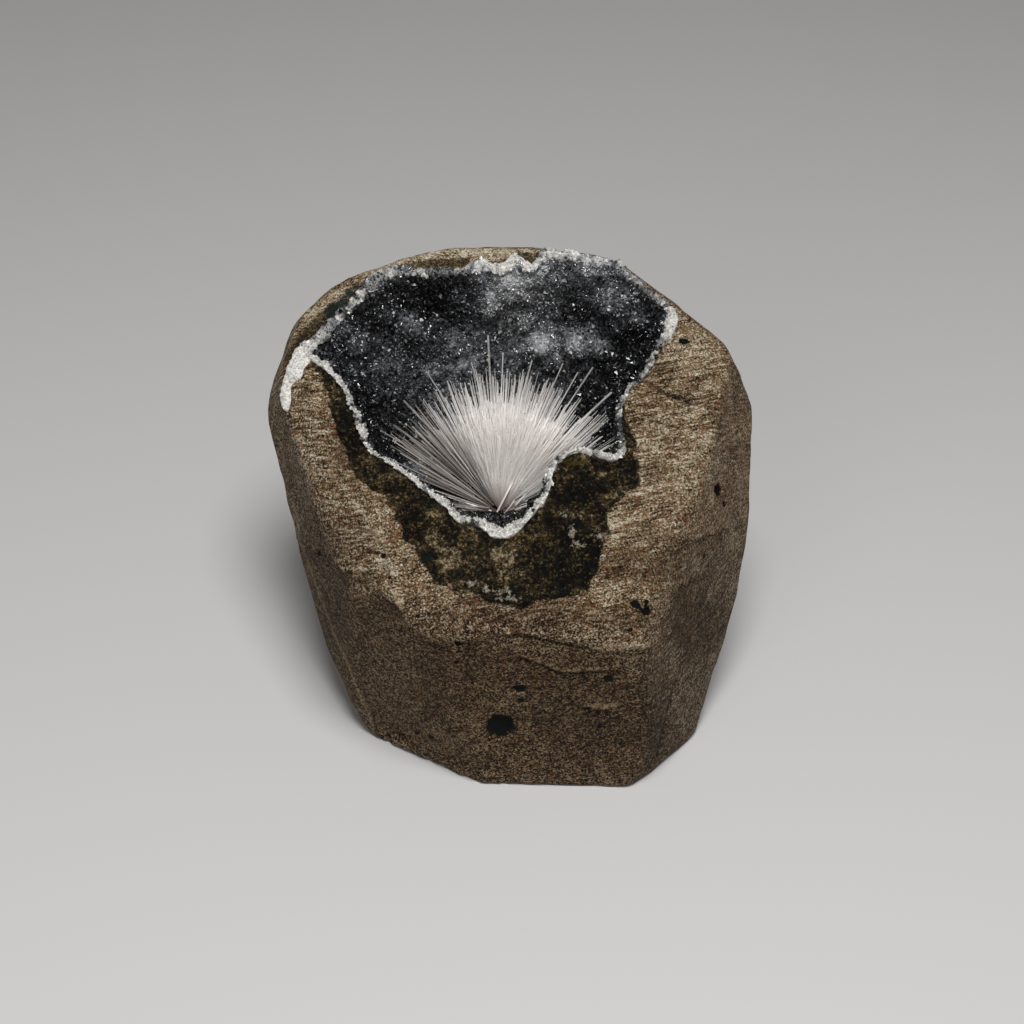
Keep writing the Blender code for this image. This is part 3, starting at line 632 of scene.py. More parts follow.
def basalt_material():
    """Ground basalt: speckled grains, grinding marks, dark natural rind, pits and pale blebs."""
    material, tree, shader = new_material("ground_basalt")
    place = millimetres(tree)
    hue, other, coarse = grain_numbers(tree, shaken(tree, place, 0.8, 0.6), 0.6)
    light = grain_numbers(tree, place, 0.42)[0]
    crumbs = noise_map(tree, place, 0.5, 3.0, 0.8)
    patches = noise_map(tree, place, 7.0, 5.0, 0.65)
    ragged = weighted(tree, -0.5, (noise_map(tree, place, 1.5, 4.0, 0.75), 1.0))
    worn = ramp(tree, noise_map(tree, place, 12.0, 2.0), [(0.34, 0.35), (0.58, 1.0)])
    lines = times(tree, grinding_lines(tree, place), worn)
    sawn_and_shaded, dark, pale, crest = (painted(tree, name) for name in ("sawn_and_shaded", "dark", "pale", "crest"))
    crest = times(tree, crest, weighted(tree, 0.6, (ragged, 2.5)))
    marks = {
        name: cut(tree, weighted(tree, painted(tree, name), (ragged, fraying)), low, high)
        for name, (fraying, low, high) in MARK_EDGES.items()}
    mottle = weighted(tree, -0.25, (crumbs, 1.0), (light, 0.5))
    dark_speck = ramp(tree, noise_map(tree, place, 2.3, 3.0, 0.6), [(0.25, 1.0), (0.31, 0.0)])

    clots = noise_map(tree, place, 1.5, 5.0, 0.85)
    areas = noise_map(tree, place, 6.0, 3.0, 0.6)
    # The rind too takes the patches' painted light and shade, and the crest lines' painted highlights
    rind_value = weighted(
        tree, -1.66, (clots, 2.2), (areas, 1.4), (light, 0.42), (pale, 0.26), (dark, -0.24), (crest, 0.25))
    mossy = ramp(tree, noise_map(tree, place, 3.6, 3.0), [(0.52, 0.0), (0.62, 0.8)])
    earthy = ramp(tree, noise_map(tree, place, 4.5, 2.0), [(0.46, 0.0), (0.66, 0.75)])
    rind_colour = covered(
        tree, ramp(tree, rind_value, RIND_GRAINS),
        (times(tree, cut(tree, other, 0.45, 0.75), mossy), DARK_GREEN),
        (times(tree, cut(tree, hue, 0.82, 0.9), earthy), OCHRE))

    value = weighted(
        tree, -1.055, (light, 0.66), (coarse, 0.22), (crumbs, 1.4), (patches, 0.75), (lines, 1.5))
    # painted grazing light: the grain's contrast is raised on the saw-cut faces
    speckled = times(tree, weighted(tree, -1.68, (coarse, 1.0), (light, 0.6), (crumbs, 1.6)), sawn_and_shaded)
    # pale patches add painted light, partly tan rock, and the crest lines add painted highlights
    value = weighted(tree, value, (speckled, 1.0), (pale, 0.2), (crest, 0.35))
    greyer = ramp(tree, noise_map(tree, place, 3.2, 4.0, 0.7), [(0.42, 0.0), (0.6, 0.8)])
    rusty = ramp(tree, noise_map(tree, place, 2.4, 4.0, 0.7), [(0.46, 0.15), (0.6, 1.0)])
    # painted highlight: a tan along the crest lines of ledges and facet edges
    crest_highlight = ramp(tree, weighted(tree, -0.1, (crest, 1.0), (light, 0.3)), [(0.4, 0.0), (1.0, 0.7)])
    colour = covered(
        tree, ramp(tree, value, BASALT_GRAINS), (greyer, GREYISH, "MULTIPLY"),
        (times(tree, ramp(tree, hue, [(0.3, 0.0), (0.85, 0.8)]), rusty), RUST),
        # painted shade, partly darker rock: the dark patches are multiplied darker
        (times(tree, dark, weighted(tree, 1.0, (ragged, 2.4)), True), SHADED, "MULTIPLY"),
        # painted shade, partly the cut rock's own darker colour: the saw-cut faces are multiplied darker
        (times(tree, sawn_and_shaded, 0.9), SAWN_BROWN_AND_SHADE, "MULTIPLY"), (crest_highlight, CREST_HIGHLIGHT_TAN),
        (times(tree, marks["brown"], 0.92), ramp(tree, mottle, BROWN_SKIN)), (marks["rind"], rind_colour),
        (times(tree, marks["green"], 0.95), DARK_GREEN), (times(tree, marks["olive"], 0.8), OLIVE),
        # painted shade in the cracks and under ledges
        (marks["crease"], CREASE_SHADE, "MULTIPLY"), (marks["bleb"], ramp(tree, mottle, BLEB_GRAINS)),
        (dark_speck, DARK_FILLING), (marks["pit"], DARK_FILLING))
    height = weighted(
        tree, 0.0, (crumbs, 1.5), (lines, 1.8), (light, 0.3), (dark_speck, -0.8),
        (times(tree, clots, marks["rind"]), 4.5), (marks["crease"], -0.9), (marks["bleb"], 0.5))
    put(tree, shader, {
        "Base Color": colour, "Roughness": covered(tree, 0.85, (marks["rind"], 0.6)),
        "Specular IOR Level": 0.2, "Normal": bumped(tree, height, 0.5)})
    return material


# Quartz from dark and clear to milk-white, and the broken edge's white; the ramp also turns the painted light
# and shade in the crust's values into colour
QUARTZ_DEPTHS = [
    (0.0, tone(3, 3, 4)), (0.2, tone(33, 34, 36)), (0.45, tone(92, 93, 96)), (0.7, tone(158, 159, 161)),
    (1.0, tone(230, 230, 229)),
]
CHALCEDONY_WHITES = [(0.25, tone(108, 106, 102)), (0.42, tone(180, 177, 171)), (0.65, tone(232, 229, 222))]


def quartz_material(name, crystal):
    """Quartz and chalcedony: white where it broke, milk-white in patches, otherwise dark and clear; its
    values carry painted light and shade too.
    """
    material, tree, shader = new_material(name)
    place = millimetres(tree)
    white = painted(tree, "white")
    cloud = noise_map(tree, place, 3.5, 3.0, 0.6)
    fine = noise_map(tree, place, 0.7, 2.0, 0.6)
    grain, facet, _ = grain_numbers(tree, place, 0.9)
    grain_share, clear_roughness, bump = (0.0, 0.16, 0.1) if crystal else (0.3, 0.35, 0.45)
    depth = weighted(
        tree, painted(tree, "milky"), (weighted(tree, -0.5, (cloud, 1.0)), 0.5),
        (weighted(tree, -0.5, (grain, 1.0)), grain_share))
    put(tree, shader, {
        "Base Color": covered(
            tree, ramp(tree, depth, QUARTZ_DEPTHS), (white, ramp(tree, fine, CHALCEDONY_WHITES))),
        "Roughness": ramp(tree, white, [(0.0, clear_roughness), (1.0, 0.4)]), "IOR": 1.55,
        "Normal": bumped(tree, weighted(tree, fine, (facet, 0.3)), bump)})
    if crystal:
        put(tree, shader, {"Transmission Weight": ramp(tree, white, [(0.0, 0.25), (0.5, 0.0)])})
    return material


SCOLECITE_WHITES = [(0.1, tone(226, 215, 206)), (0.5, tone(253, 245, 238)), (1.0, tone(255, 252, 248))]
ROOT_SHADE = tone(158, 140, 132)
SIDE_SHADE_BROWN = tone(122, 110, 99)
SPECK_BROWN = tone(112, 84, 62)
TIP_GREY = tone(190, 188, 186)


def scolecite_material():
    """White silky needles, darkened at their root as painted shade, browner and see-through on the sides and
    darker there partly as painted shade, and clearer and greyer towards their tips.
    """
    material, tree, shader = new_material("scolecite_needles")
    place = millimetres(tree)
    reach = add_node(tree, "VectorMath", "Value", {0: place, 1: tuple(spray_base())}, operation="DISTANCE")
    way = times(tree, reach, 1.0 / NEEDLE_FURTHEST)
    dull = painted(tree, "dull")
    shade = weighted(tree, painted(tree, "shade"), (noise_map(tree, place, 2.5, 2.0), 0.4))
    specks = ramp(tree, noise_map(tree, place, 0.8, 1.0), [(0.24, 0.9), (0.3, 0.0)])
    put(tree, shader, {
        "Base Color": covered(
            tree, ramp(tree, shade, SCOLECITE_WHITES),
            # painted shade: the needles darken towards their root
            (ramp(tree, way, [(0.04, 1.0), (0.2, 0.0)]), ROOT_SHADE, "MULTIPLY"),
            # partly painted shade: needles lying over to the sides are darker and browner
            (times(tree, dull, 0.95), SIDE_SHADE_BROWN, "MULTIPLY"), (specks, SPECK_BROWN),
            (ramp(tree, way, [(0.62, 0.0), (0.82, 0.6)]), TIP_GREY)),
        "Transmission Weight": weighted(tree, ramp(tree, way, [(0.6, 0.0), (0.8, 0.65)]), (dull, 0.3)),
        "Roughness": 0.32, "IOR": 1.51, "Subsurface Weight": 0.25, "Subsurface Radius": (1.0, 0.9, 0.8),
        "Subsurface Scale": 0.0008})
    return material


def block_rings(outer):
    """Directions of rings over the block's worn surface from the rim to its far side, and the last pole's."""
    axis = outward(on_block(np.array(OPENING_PX)))
    across = unit(PICTURE_RIGHT - (PICTURE_RIGHT @ axis) * axis)
    other = np.cross(axis, across)
    directions = outward(outer)
    polar = np.arccos(directions @ axis)
    turn = np.unwrap(np.arctan2(directions @ other, directions @ across))
    way_round = np.sign(turn[-1] - turn[0]) * math.tau * np.arange(COLUMNS) / COLUMNS
    curve = np.stack([turn - way_round, polar], axis=1)
    rings = []
    for ring in range(BLOCK_RINGS + 1):
        way = ring / (BLOCK_RINGS + 1)
        turned, lowered = blurred_around(curve, RING_EASING * way).T
        reach = (lowered + (math.pi - lowered) * (0.75 * way + 0.25 * way ** 2))[:, None]
        angle = (turned + way_round)[:, None]
        rings.append(np.cos(reach) * axis + np.sin(reach) * (np.cos(angle) * across + np.sin(angle) * other))
    return np.array(rings), -axis


def facing_eye(points, normals):
    """One where a surface faces the eye, falling to zero where it turns away."""
    return eased_step(0.0, 0.12, (unit(EYE_POINT - points) * normals).sum(axis=-1))


# Marks of the picture on the rock, with ovals as x, y, half-width and half-height
# Dark pits and gas bubbles, each with its depth
PITS_PX = [
    (500, 728, 15, 12, 2.0), (636, 605, 5, 4, 1.4), (647, 603, 3, 3, 1.0), (647, 612, 5, 5, 1.6),
    (641, 609, 3, 2, 0.8), (718, 490, 4, 6.5, 1.8), (685, 340, 6, 4, 1.3), (322, 553, 2.5, 2.5, 0.8),
    (519, 688, 7.5, 4, 0.9), (418, 615, 3, 2, 0.6), (630, 630, 3, 2, 0.6), (459, 642, 4.5, 3.5, 0.8),
    (521, 700, 3.5, 2.5, 0.6), (608, 678, 5.5, 3, 0.7), (600, 727, 2.5, 3, 0.6), (431, 736, 3.5, 2.5, 0.5),
    (457, 661, 3, 2, 0.5), (418, 733, 2.5, 2, 0.5), (383, 556, 3, 2.5, 0.5), (390, 578, 2.5, 2, 0.5),
    (724, 504, 2, 3, 0.6), (704, 556, 2.5, 2, 0.6),
]
# Pale mineral blebs on the rind
BLEBS_PX = [
    (573, 533, 4, 6.5), (580, 545, 5.5, 3.5), (600, 536, 4.5, 4), (602, 556, 2.5, 6.5),
    (486, 590, 6.5, 4.5), (502, 592, 8, 4), (388, 563, 4, 5), (395, 573, 4, 4), (565, 514, 2.5, 4.5),
    (470, 584, 7, 3), (510, 600, 11, 2.5),
]
# The small cave under the rim's lip, with its depth
CAVES_PX = [(575, 459, 13, 4.5, 1.8)]
# How soft the walls of the pits and of the cave are, as shares of their size
PIT_WALL = (0.7, 1.15)
CAVE_WALL = (0.5, 1.2)
# Ledges left by the grinder: a line in the picture, how proud the rock above it stands, how fast that fades
LEDGES_PX = [
    ([(398, 600), (412, 624), (436, 638), (470, 640)], 1.7, 14.0),
    ([(470, 638), (520, 632), (560, 640), (600, 650), (645, 648)], 1.3, 14.0),
    ([(572, 700), (598, 708), (620, 704), (638, 694)], 1.1, 9.0),
    ([(505, 650), (535, 661), (562, 669), (620, 667)], 0.9, 8.0),
    ([(636, 384), (660, 392), (690, 402)], 0.9, 6.0),
    ([(600, 560), (640, 556), (690, 542), (725, 530)], 0.9, 12.0),
    ([(610, 500), (640, 498), (660, 490)], 0.8, 7.0),
    ([(300, 540), (335, 566), (362, 580), (400, 606)], 1.0, 14.0),
    ([(640, 600), (670, 590), (706, 575)], 0.8, 9.0),
]
LEDGE_END_PX = 6.0
# Lines in the picture from x, y to x, y, with their half-width: stains; cracks and grooves under ledges,
# darkened as painted shade; and ledge crests and facet edges, lightened as painted highlights
STAINS_PX = {
    "green": [
        (330, 312, 345, 301, 8.0), (345, 301, 359, 287, 7.0), (424, 560, 428, 556, 3.0),
    ],
    "brown": [
        (287, 358, 299, 341, 5.0), (299, 341, 318, 322, 7.0), (318, 322, 334, 309, 7.0),
        (398, 268, 430, 264, 4.0), (430, 264, 468, 262, 4.5), (520, 256, 534, 262, 5.0),
        (534, 262, 544, 252, 4.0), (556, 468, 558, 474, 2.5),
    ],
    "olive": [
        (564, 461, 588, 459, 2.3),
    ],
    "crease": [
        (640, 382, 664, 394, 2.2), (664, 394, 692, 403, 2.2), (485, 540, 489, 560, 2.0),
        (489, 560, 495, 584, 2.2), (467, 629, 539, 639, 1.9), (539, 639, 585, 647, 1.7),
        (574, 705, 600, 712, 1.8), (612, 505, 640, 502, 1.8), (520, 659, 562, 673, 1.7),
        (562, 673, 616, 672, 1.5), (420, 640, 450, 649, 1.5), (676, 682, 668, 716, 1.5),
        (668, 716, 657, 756, 1.5), (290, 354, 301, 339, 4.0), (301, 339, 324, 318, 5.0),
        (600, 562, 640, 560, 1.6), (652, 420, 680, 428, 1.6), (410, 520, 432, 560, 1.8),
        (560, 560, 596, 566, 1.8),
    ],
    "crest": [
        (400, 602, 414, 626, 2.5), (414, 626, 440, 639, 2.5), (440, 639, 462, 644, 2.5),
        (508, 652, 535, 660, 2.0), (535, 660, 560, 668, 3.0), (560, 668, 618, 666, 2.5),
        (600, 645, 645, 643, 3.0), (578, 701, 618, 704, 3.0), (292, 500, 302, 545, 1.6),
        (302, 545, 332, 630, 1.6), (332, 630, 376, 738, 1.6), (614, 498, 640, 489, 3.0),
        (640, 489, 668, 484, 2.0), (610, 524, 650, 516, 2.5), (398, 590, 404, 604, 4.0),
        (620, 470, 650, 462, 1.5), (330, 470, 352, 500, 2.5), (352, 500, 384, 540, 2.5),
    ],
}
# Ovals with their strength: darker areas, partly darker rock and partly painted shade under ledges and on
# faces turned from the light; and lighter ones, partly tan rock and partly painted light on the block's top
# edge and along ledges
PATCHES_PX = {
    "dark": [
        (318, 555, 24, 8, 0.6), (355, 578, 28, 9, 0.6), (395, 608, 26, 10, 0.6), (650, 568, 52, 18, 0.6),
        (660, 540, 34, 8, 0.4), (625, 560, 22, 9, 0.4), (650, 470, 28, 9, 0.35), (690, 400, 18, 6, 0.35),
        (560, 668, 66, 14, 0.45), (480, 668, 76, 18, 0.4), (620, 690, 44, 12, 0.45),
        (350, 480, 16, 10, 0.3), (694, 625, 36, 44, 0.8), (440, 700, 60, 20, 0.25),
        (600, 730, 60, 26, 0.35), (530, 616, 66, 14, 0.65), (620, 620, 40, 12, 0.5),
        (450, 612, 34, 10, 0.4), (690, 560, 40, 26, 0.35), (576, 560, 30, 34, 0.9), (350, 410, 12, 30, 0.5),
        (325, 620, 26, 40, 0.35), (345, 440, 12, 30, 0.6), (585, 490, 20, 20, 0.6), (660, 370, 14, 8, 0.35),
        (652, 705, 20, 56, 0.6), (580, 712, 60, 50, 0.4), (345, 540, 40, 26, 0.3), (500, 600, 40, 8, 0.5),
        (330, 520, 20, 18, 0.25), (420, 520, 10, 20, 0.4),
    ],
    "pale": [
        (428, 634, 22, 5, 0.8), (605, 646, 42, 6, 0.7), (608, 704, 22, 5, 0.7), (640, 492, 26, 6, 0.8),
        (620, 520, 24, 6, 0.5), (400, 588, 16, 12, 0.5), (306, 470, 14, 40, 0.4), (505, 566, 12, 22, 1.0),
        (380, 262, 60, 14, 1.6), (470, 252, 60, 8, 2.0), (322, 300, 30, 26, 0.8), (690, 350, 34, 40, 0.8),
        (310, 440, 20, 40, 0.5), (448, 562, 20, 14, 0.8), (468, 522, 14, 8, 0.6), (690, 440, 30, 60, 0.4),
        (655, 440, 26, 26, 0.5), (380, 515, 24, 30, 0.3), (400, 690, 26, 44, 0.5), (430, 738, 34, 12, 0.6),
        (545, 662, 44, 5, 0.5), (718, 672, 14, 46, 0.4), (692, 728, 18, 34, 0.4), (432, 548, 18, 12, 0.7),
        (430, 520, 16, 10, 0.5),
    ],
}
# Relief, as rows of strength, size and seed
BLOCK_WAVES = [(0.6, 24.0, 1), (0.38, 9.0, 2), (0.16, 3.5, 3)]
RIND_EDGE_WAVES = [(5.0, 5.0, 21), (2.5, 1.8, 22)]
CRUST_DOMES = [(1.6, 7.5, 51), (0.9, 3.2, 52)]
CRUST_WAVES = [(0.3, 1.6, 53)]
EDGE_DOMES = [(1.0, 4.4, 56), (1.2, 2.2, 54)]
EDGE_WAVES = [(0.7, 1.1, 55)]
EDGE_MOTTLE = [(0.8, 2.2, 61), (0.5, 1.0, 62)]
VEIN_DOMES = [(0.7, 2.6, 82)]
VEIN_WAVES = [(0.35, 1.1, 83)]
CORE_WAVES = [(1.0, 2.2, 91), (1.4, 7.0, 92)]
TUFT_WAVES = [(1.8, 8.0, 95), (1.4, 3.0, 96)]


def oval(points_px, x_px, y_px, half_width, half_height):
    """Distance from the middle of an oval of the picture, one at its edge."""
    return np.hypot((points_px[..., 0] - x_px) / half_width, (points_px[..., 1] - y_px) / half_height)


def soft_ovals(points_px, wobble, marks, wall=(0.5, 1.3)):
    """The strength of each oval mark at points, which falls to zero over its wall."""
    return [
        strength * (1.0 - eased_step(*wall, oval(points_px, *shape) + wobble)) for *shape, strength in marks]


def stained(points_px, stains):
    """How deep places lie in the stains' lines: one along a line, a half at its edge, zero further off."""
    total = np.zeros(points_px.shape[:-1])
    for *ends, half_width in stains:
        offset, _ = line_offsets(points_px, *np.reshape(ends, (2, 2)))
        total = np.maximum(total, 1.0 - 0.5 * np.linalg.norm(offset, axis=-1) / half_width)
    return total


def ledge_height(points_px, line, rise, fade):
    """A step that stands proud just above a line in the picture and fades away from it."""
    nearest = np.full(points_px.shape[:-1], FAR)
    lift = np.zeros(nearest.shape)
    corners = np.asarray(line, float)
    for first, second in zip(corners[:-1], corners[1:]):
        offset, beyond = line_offsets(points_px, first, second)
        across, down = second - first
        distance = np.linalg.norm(offset, axis=-1)
        step = np.exp(-distance / fade - (beyond / LEDGE_END_PX) ** 2)
        above = across * offset[..., 1] < down * offset[..., 0]
        lift = np.where(distance < nearest, step * above, lift)
        nearest = np.minimum(nearest, distance)
    return rise * lift


def rock_marks(plain, place_px):
    """How strongly each kind of mark of the picture covers places of the plain block."""
    marks = {name: stained(place_px, lines) for name, lines in STAINS_PX.items()}
    for name, ovals in (("pit", PITS_PX), ("bleb", BLEBS_PX)):
        nearest = np.min([oval(place_px, *shape[:4]) for shape in ovals], axis=0)
        marks[name] = np.maximum(1.0 - 0.5 * nearest, 0.0)
    for seed, (name, ovals) in enumerate(PATCHES_PX.items(), 33):
        marks[name] = np.max(soft_ovals(place_px, PATCH_WOBBLE * noise(plain, 3.0, seed), ovals), axis=0)
    return marks


def rock_relief(plain, place_px, marks, from_rind, free):
    """How far the rind, the pits, the ledges and the other marks stand proud of the plain block."""
    wobble = PIT_WOBBLE * noise(plain, 1.5, 31)
    rind = 1.0 - eased_step(*RIND_EDGE, from_rind)
    relief = rind * (RIND_ROUGHNESS * rough_noise(plain, 4.5, 4, 4) - RIND_DEPTH) * free
    relief -= sum(soft_ovals(place_px, wobble, PITS_PX, PIT_WALL))
    relief -= sum(soft_ovals(place_px, wobble, CAVES_PX, CAVE_WALL))
    relief += sum(ledge_height(place_px, *ledge) for ledge in LEDGES_PX)
    return relief + BLEB_HEIGHT * marks["bleb"] - CREASE_DEPTH * np.clip(marks["crease"] - 0.3, 0.0, 1.0)


def chipped_edge(plain):
    """How deep the rough chips along the foot of the block's left front are."""
    x, y, z = np.moveaxis(plain, -1, 0)
    there = eased_step(14.0, 3.0, z) * eased_step(8.0, -14.0, x) * eased_step(-10.0, -25.0, y)
    return CHIP_DEPTH * np.clip(rough_noise(plain, 6.0, 3, 41) + 0.1, 0.0, 1.0) * there


def face_shares(directions):
    """How much of the ground at directions belongs to each set of grinding marks, and to the saw-cut faces
    whose colour is darker partly as painted shade.
    """
    reach = face_reaches(directions)
    weight = np.exp(-(reach - reach.min(axis=-1, keepdims=True)) / GRINDING_BLEND)
    weight /= weight.sum(axis=-1, keepdims=True)
    sets = {"grinding_%d" % number: row[0] for number, row in enumerate(GRINDING)}
    sets["sawn_and_shaded"] = SAWN_FACES
    return {name: weight[..., list(faces)].sum(axis=-1) for name, faces in sets.items()}


def with_hidden(values, hidden_rings, inside=0.0):
    """Values of a skin's seen points, after those of its hidden rings and before those of its two poles."""
    return np.pad(values.ravel(), (hidden_rings * COLUMNS, 2), constant_values=inside)


def basalt_skin(outer, material):
    """The whole surface of the block: its worn outside and the rock wall behind the crust."""
    directions, pole = block_rings(outer)
    radius = block_radius(directions)
    plain = BLOCK_CENTRE + directions * radius[..., None]
    seen = facing_eye(plain, surface_normals(plain, BLOCK_CENTRE))
    place_px = picture_position(plain)
    free = eased_step(0.0, 2.5, np.linalg.norm(plain - plain[0], axis=-1))
    from_rind = outline_distance(place_px, RIND_PX) + bumps(plain, RIND_EDGE_WAVES)
    marks = rock_marks(plain, place_px)
    relief = bumps(plain, BLOCK_WAVES) + rock_relief(plain, place_px, marks, from_rind, free) * seen
    relief = (relief - chipped_edge(plain)) * eased_step(0.2, 2.5, plain[..., 2])
    surface = BLOCK_CENTRE + directions * (radius + relief * free)[..., None]
    surface[..., 2] = np.maximum(surface[..., 2], 0.0)

    wall, deepest = hollow_wall(surface[0], np.linspace(0.94, 0.06, ROCK_WALL_RINGS))
    wall = wall + unit(wall - 0.5 * (surface[0].mean(axis=0) + deepest)) * GAP
    far_side = BLOCK_CENTRE + pole * block_radius(pole)
    points, faces = closed_rings(np.concatenate([wall, surface]), deepest - HOLLOW_AXIS * GAP, far_side)
    values = {**face_shares(directions), **{name: depth * seen for name, depth in marks.items()}}
    values = {name: with_hidden(numbers, ROCK_WALL_RINGS) for name, numbers in values.items()}
    values["rind"] = with_hidden(np.clip(0.5 - 0.1 * from_rind, 0.0, 1.0) * seen, ROCK_WALL_RINGS, 1.0)
    return mesh_object("basalt_skin", points, faces, material, **values), surface[0]


def picture_marks(points, marks, roundness=2.0):
    """The sum of soft round marks of the picture (x, y, radius, strength) at points."""
    seen = picture_position(points)
    return sum(
        strength * np.exp(-oval(seen, x_px, y_px, radius, radius) ** roundness)
        for x_px, y_px, radius, strength in marks)


def crust_face(outer, inner, whiteness):
    """The crust's face from the rim down, how white it is, its milkiness with painted light and shade, its
    lowest point and the rock's.
    """
    ways = np.linspace(0.0, 0.985, FACE_RINGS + 1) ** 1.15
    wall, deepest = hollow_wall(outer, ways)
    middle = outer.mean(axis=0)
    normals = -surface_normals(wall, 0.5 * (middle + deepest))
    normals = unit(np.array([blurred_around(ring, 0.012) for ring in normals]))
    below_edge = np.minimum(1.0, ways[:, None] * 2.5)
    edge_width = np.linalg.norm(inner - outer, axis=1)
    thickness = edge_width * (1.0 - below_edge) + CRUST_THICKNESS * below_edge
    thickness = np.maximum(thickness, THINNEST_CRUST) + picture_marks(wall, SWELLINGS_PX)
    on_wall = eased_step(0.0, 0.12, ways)[:, None, None]
    face = (1.0 - on_wall) * (inner + wall - wall[0]) + on_wall * (wall + normals * thickness[..., None])
    lumps = bumps(face, CRUST_WAVES, CRUST_DOMES) - 1.3 + 1.3 * picture_marks(face, CLUSTERS_PX, 3.0)
    face = face + normals * (lumps * eased_step(0.0, 0.05, ways)[:, None])[..., None]

    share = (np.arange(BAND_RINGS) / BAND_RINGS)[:, None, None]
    edge = outer * (1.0 - share) + inner * share
    swell = 0.55 * np.sin(math.pi * np.minimum(share * 1.15, 1.0)) + 0.05
    rough = bumps(edge, EDGE_WAVES, EDGE_DOMES)[..., None] - 0.4
    edge = edge + outward(outer) * (swell + rough * np.minimum(1.0, share * 4.0))
    rings = np.concatenate([edge, face])
    depth = np.pad(np.linalg.norm(face - inner, axis=-1), ((BAND_RINGS, 0), (0, 0)))
    at_edge = 1.0 - eased_step(0.0, 0.8, depth + 0.8 * noise(rings, 2.0, 63))
    mottled = 1.25 * whiteness - 0.2 + (1.1 - whiteness) * bumps(rings, EDGE_MOTTLE)
    milky = 0.18 * np.exp(-depth / 1.5) + crystal_light(rings)
    floor = deepest + unit(middle - deepest) * CRUST_THICKNESS
    return rings, np.clip(at_edge * mottled, 0.0, 1.0), milky, floor, deepest


def crystal_light(points):
    """The quartz's milkiness at points, partly its own and partly painted light and painted shade, from dark
    and clear at zero to white at one.
    """
    milky = BASE_MILKINESS + picture_marks(points, MILKY_PX) + 0.08 * noise(points, 6.0, 71)
    return np.clip(milky, 0.02, 1.0)


def crust_skin(outer, inner, whiteness, material):
    """The whole surface of the crust: its face and its hidden back against the rock."""
    rings, white, milky, floor, deepest = crust_face(outer, inner, whiteness)
    back, _ = hollow_wall(outer, np.linspace(0.95, 0.04, BACK_RINGS))
    points, faces = closed_rings(np.concatenate([back, rings]), deepest, floor)
    skin = mesh_object(
        "quartz_crust_skin", points, faces, material, white=with_hidden(white, BACK_RINGS),
        milky=with_hidden(0.8 * milky, BACK_RINGS))
    return skin, rings, white, milky


def crystal_places(rings, fields, rng):
    """Scattered places on the crust's face with their directions and the fields' values there."""
    first, below = rings[:-1], rings[1:]
    beside = np.roll(first, -1, axis=1)
    area = np.linalg.norm(np.cross(beside - first, below - first), axis=-1)
    area[:BARE_RINGS] = 0.0
    chance = area.ravel() / area.sum()
    row, column = np.unravel_index(rng.choice(chance.size, size=POINT_TRIES, p=chance), area.shape)
    across, down = rng.random((2, POINT_TRIES, 1))
    following = (column + 1) % COLUMNS
    here, under = (
        ring[row, column] * (1 - across) + ring[row, following] * across for ring in (first, below))
    normals = -surface_normals(rings, rings.reshape(-1, 3).mean(axis=0))[row, column]
    return here * (1 - down) + under * down, normals, [field[row, column] for field in fields]


def spread_out(places, sizes):
    """Which places to keep so that no two stand closer than their sizes allow, larger ones first."""
    cells = np.floor(places / POINT_CELL).astype(int).tolist()
    steps = list(itertools.product((-1, 0, 1), repeat=3))
    taken = {}
    kept = []
    for index in np.argsort(-sizes):
        x, y, z = cells[index]
        others = (other for i, j, k in steps for other in taken.get((x + i, y + j, z + k), ()))
        pairs = ((places[other] - places[index], sizes[other] + sizes[index]) for other in others)
        if all(apart @ apart >= (POINT_CLOSENESS * size) ** 2 for apart, size in pairs):
            taken.setdefault((x, y, z), []).append(index)
            kept.append(index)
    return np.array(kept)


# A quartz point's six sides, from the corners of its foot to its tip, and its foot
POINT_CORNERS = 7
POINT_FACES = [[corner, (corner + 1) % 6, 6] for corner in range(6)]
POINT_FACES += [[0, corner + 2, corner + 1] for corner in range(4)]


def repeated_faces(pattern, count, corners, first_point=0):
    """The faces of one crystal or needle, repeated for all of them."""
    return [
        [first_point + corners * number + corner for corner in face]
        for number in range(count) for face in pattern]


def corner_way(corner, corners, side, other):
    """The direction of one of a number of corners around an axis, from two directions across it."""
    angle = corner * math.tau / corners
    return math.cos(angle) * side + math.sin(angle) * other


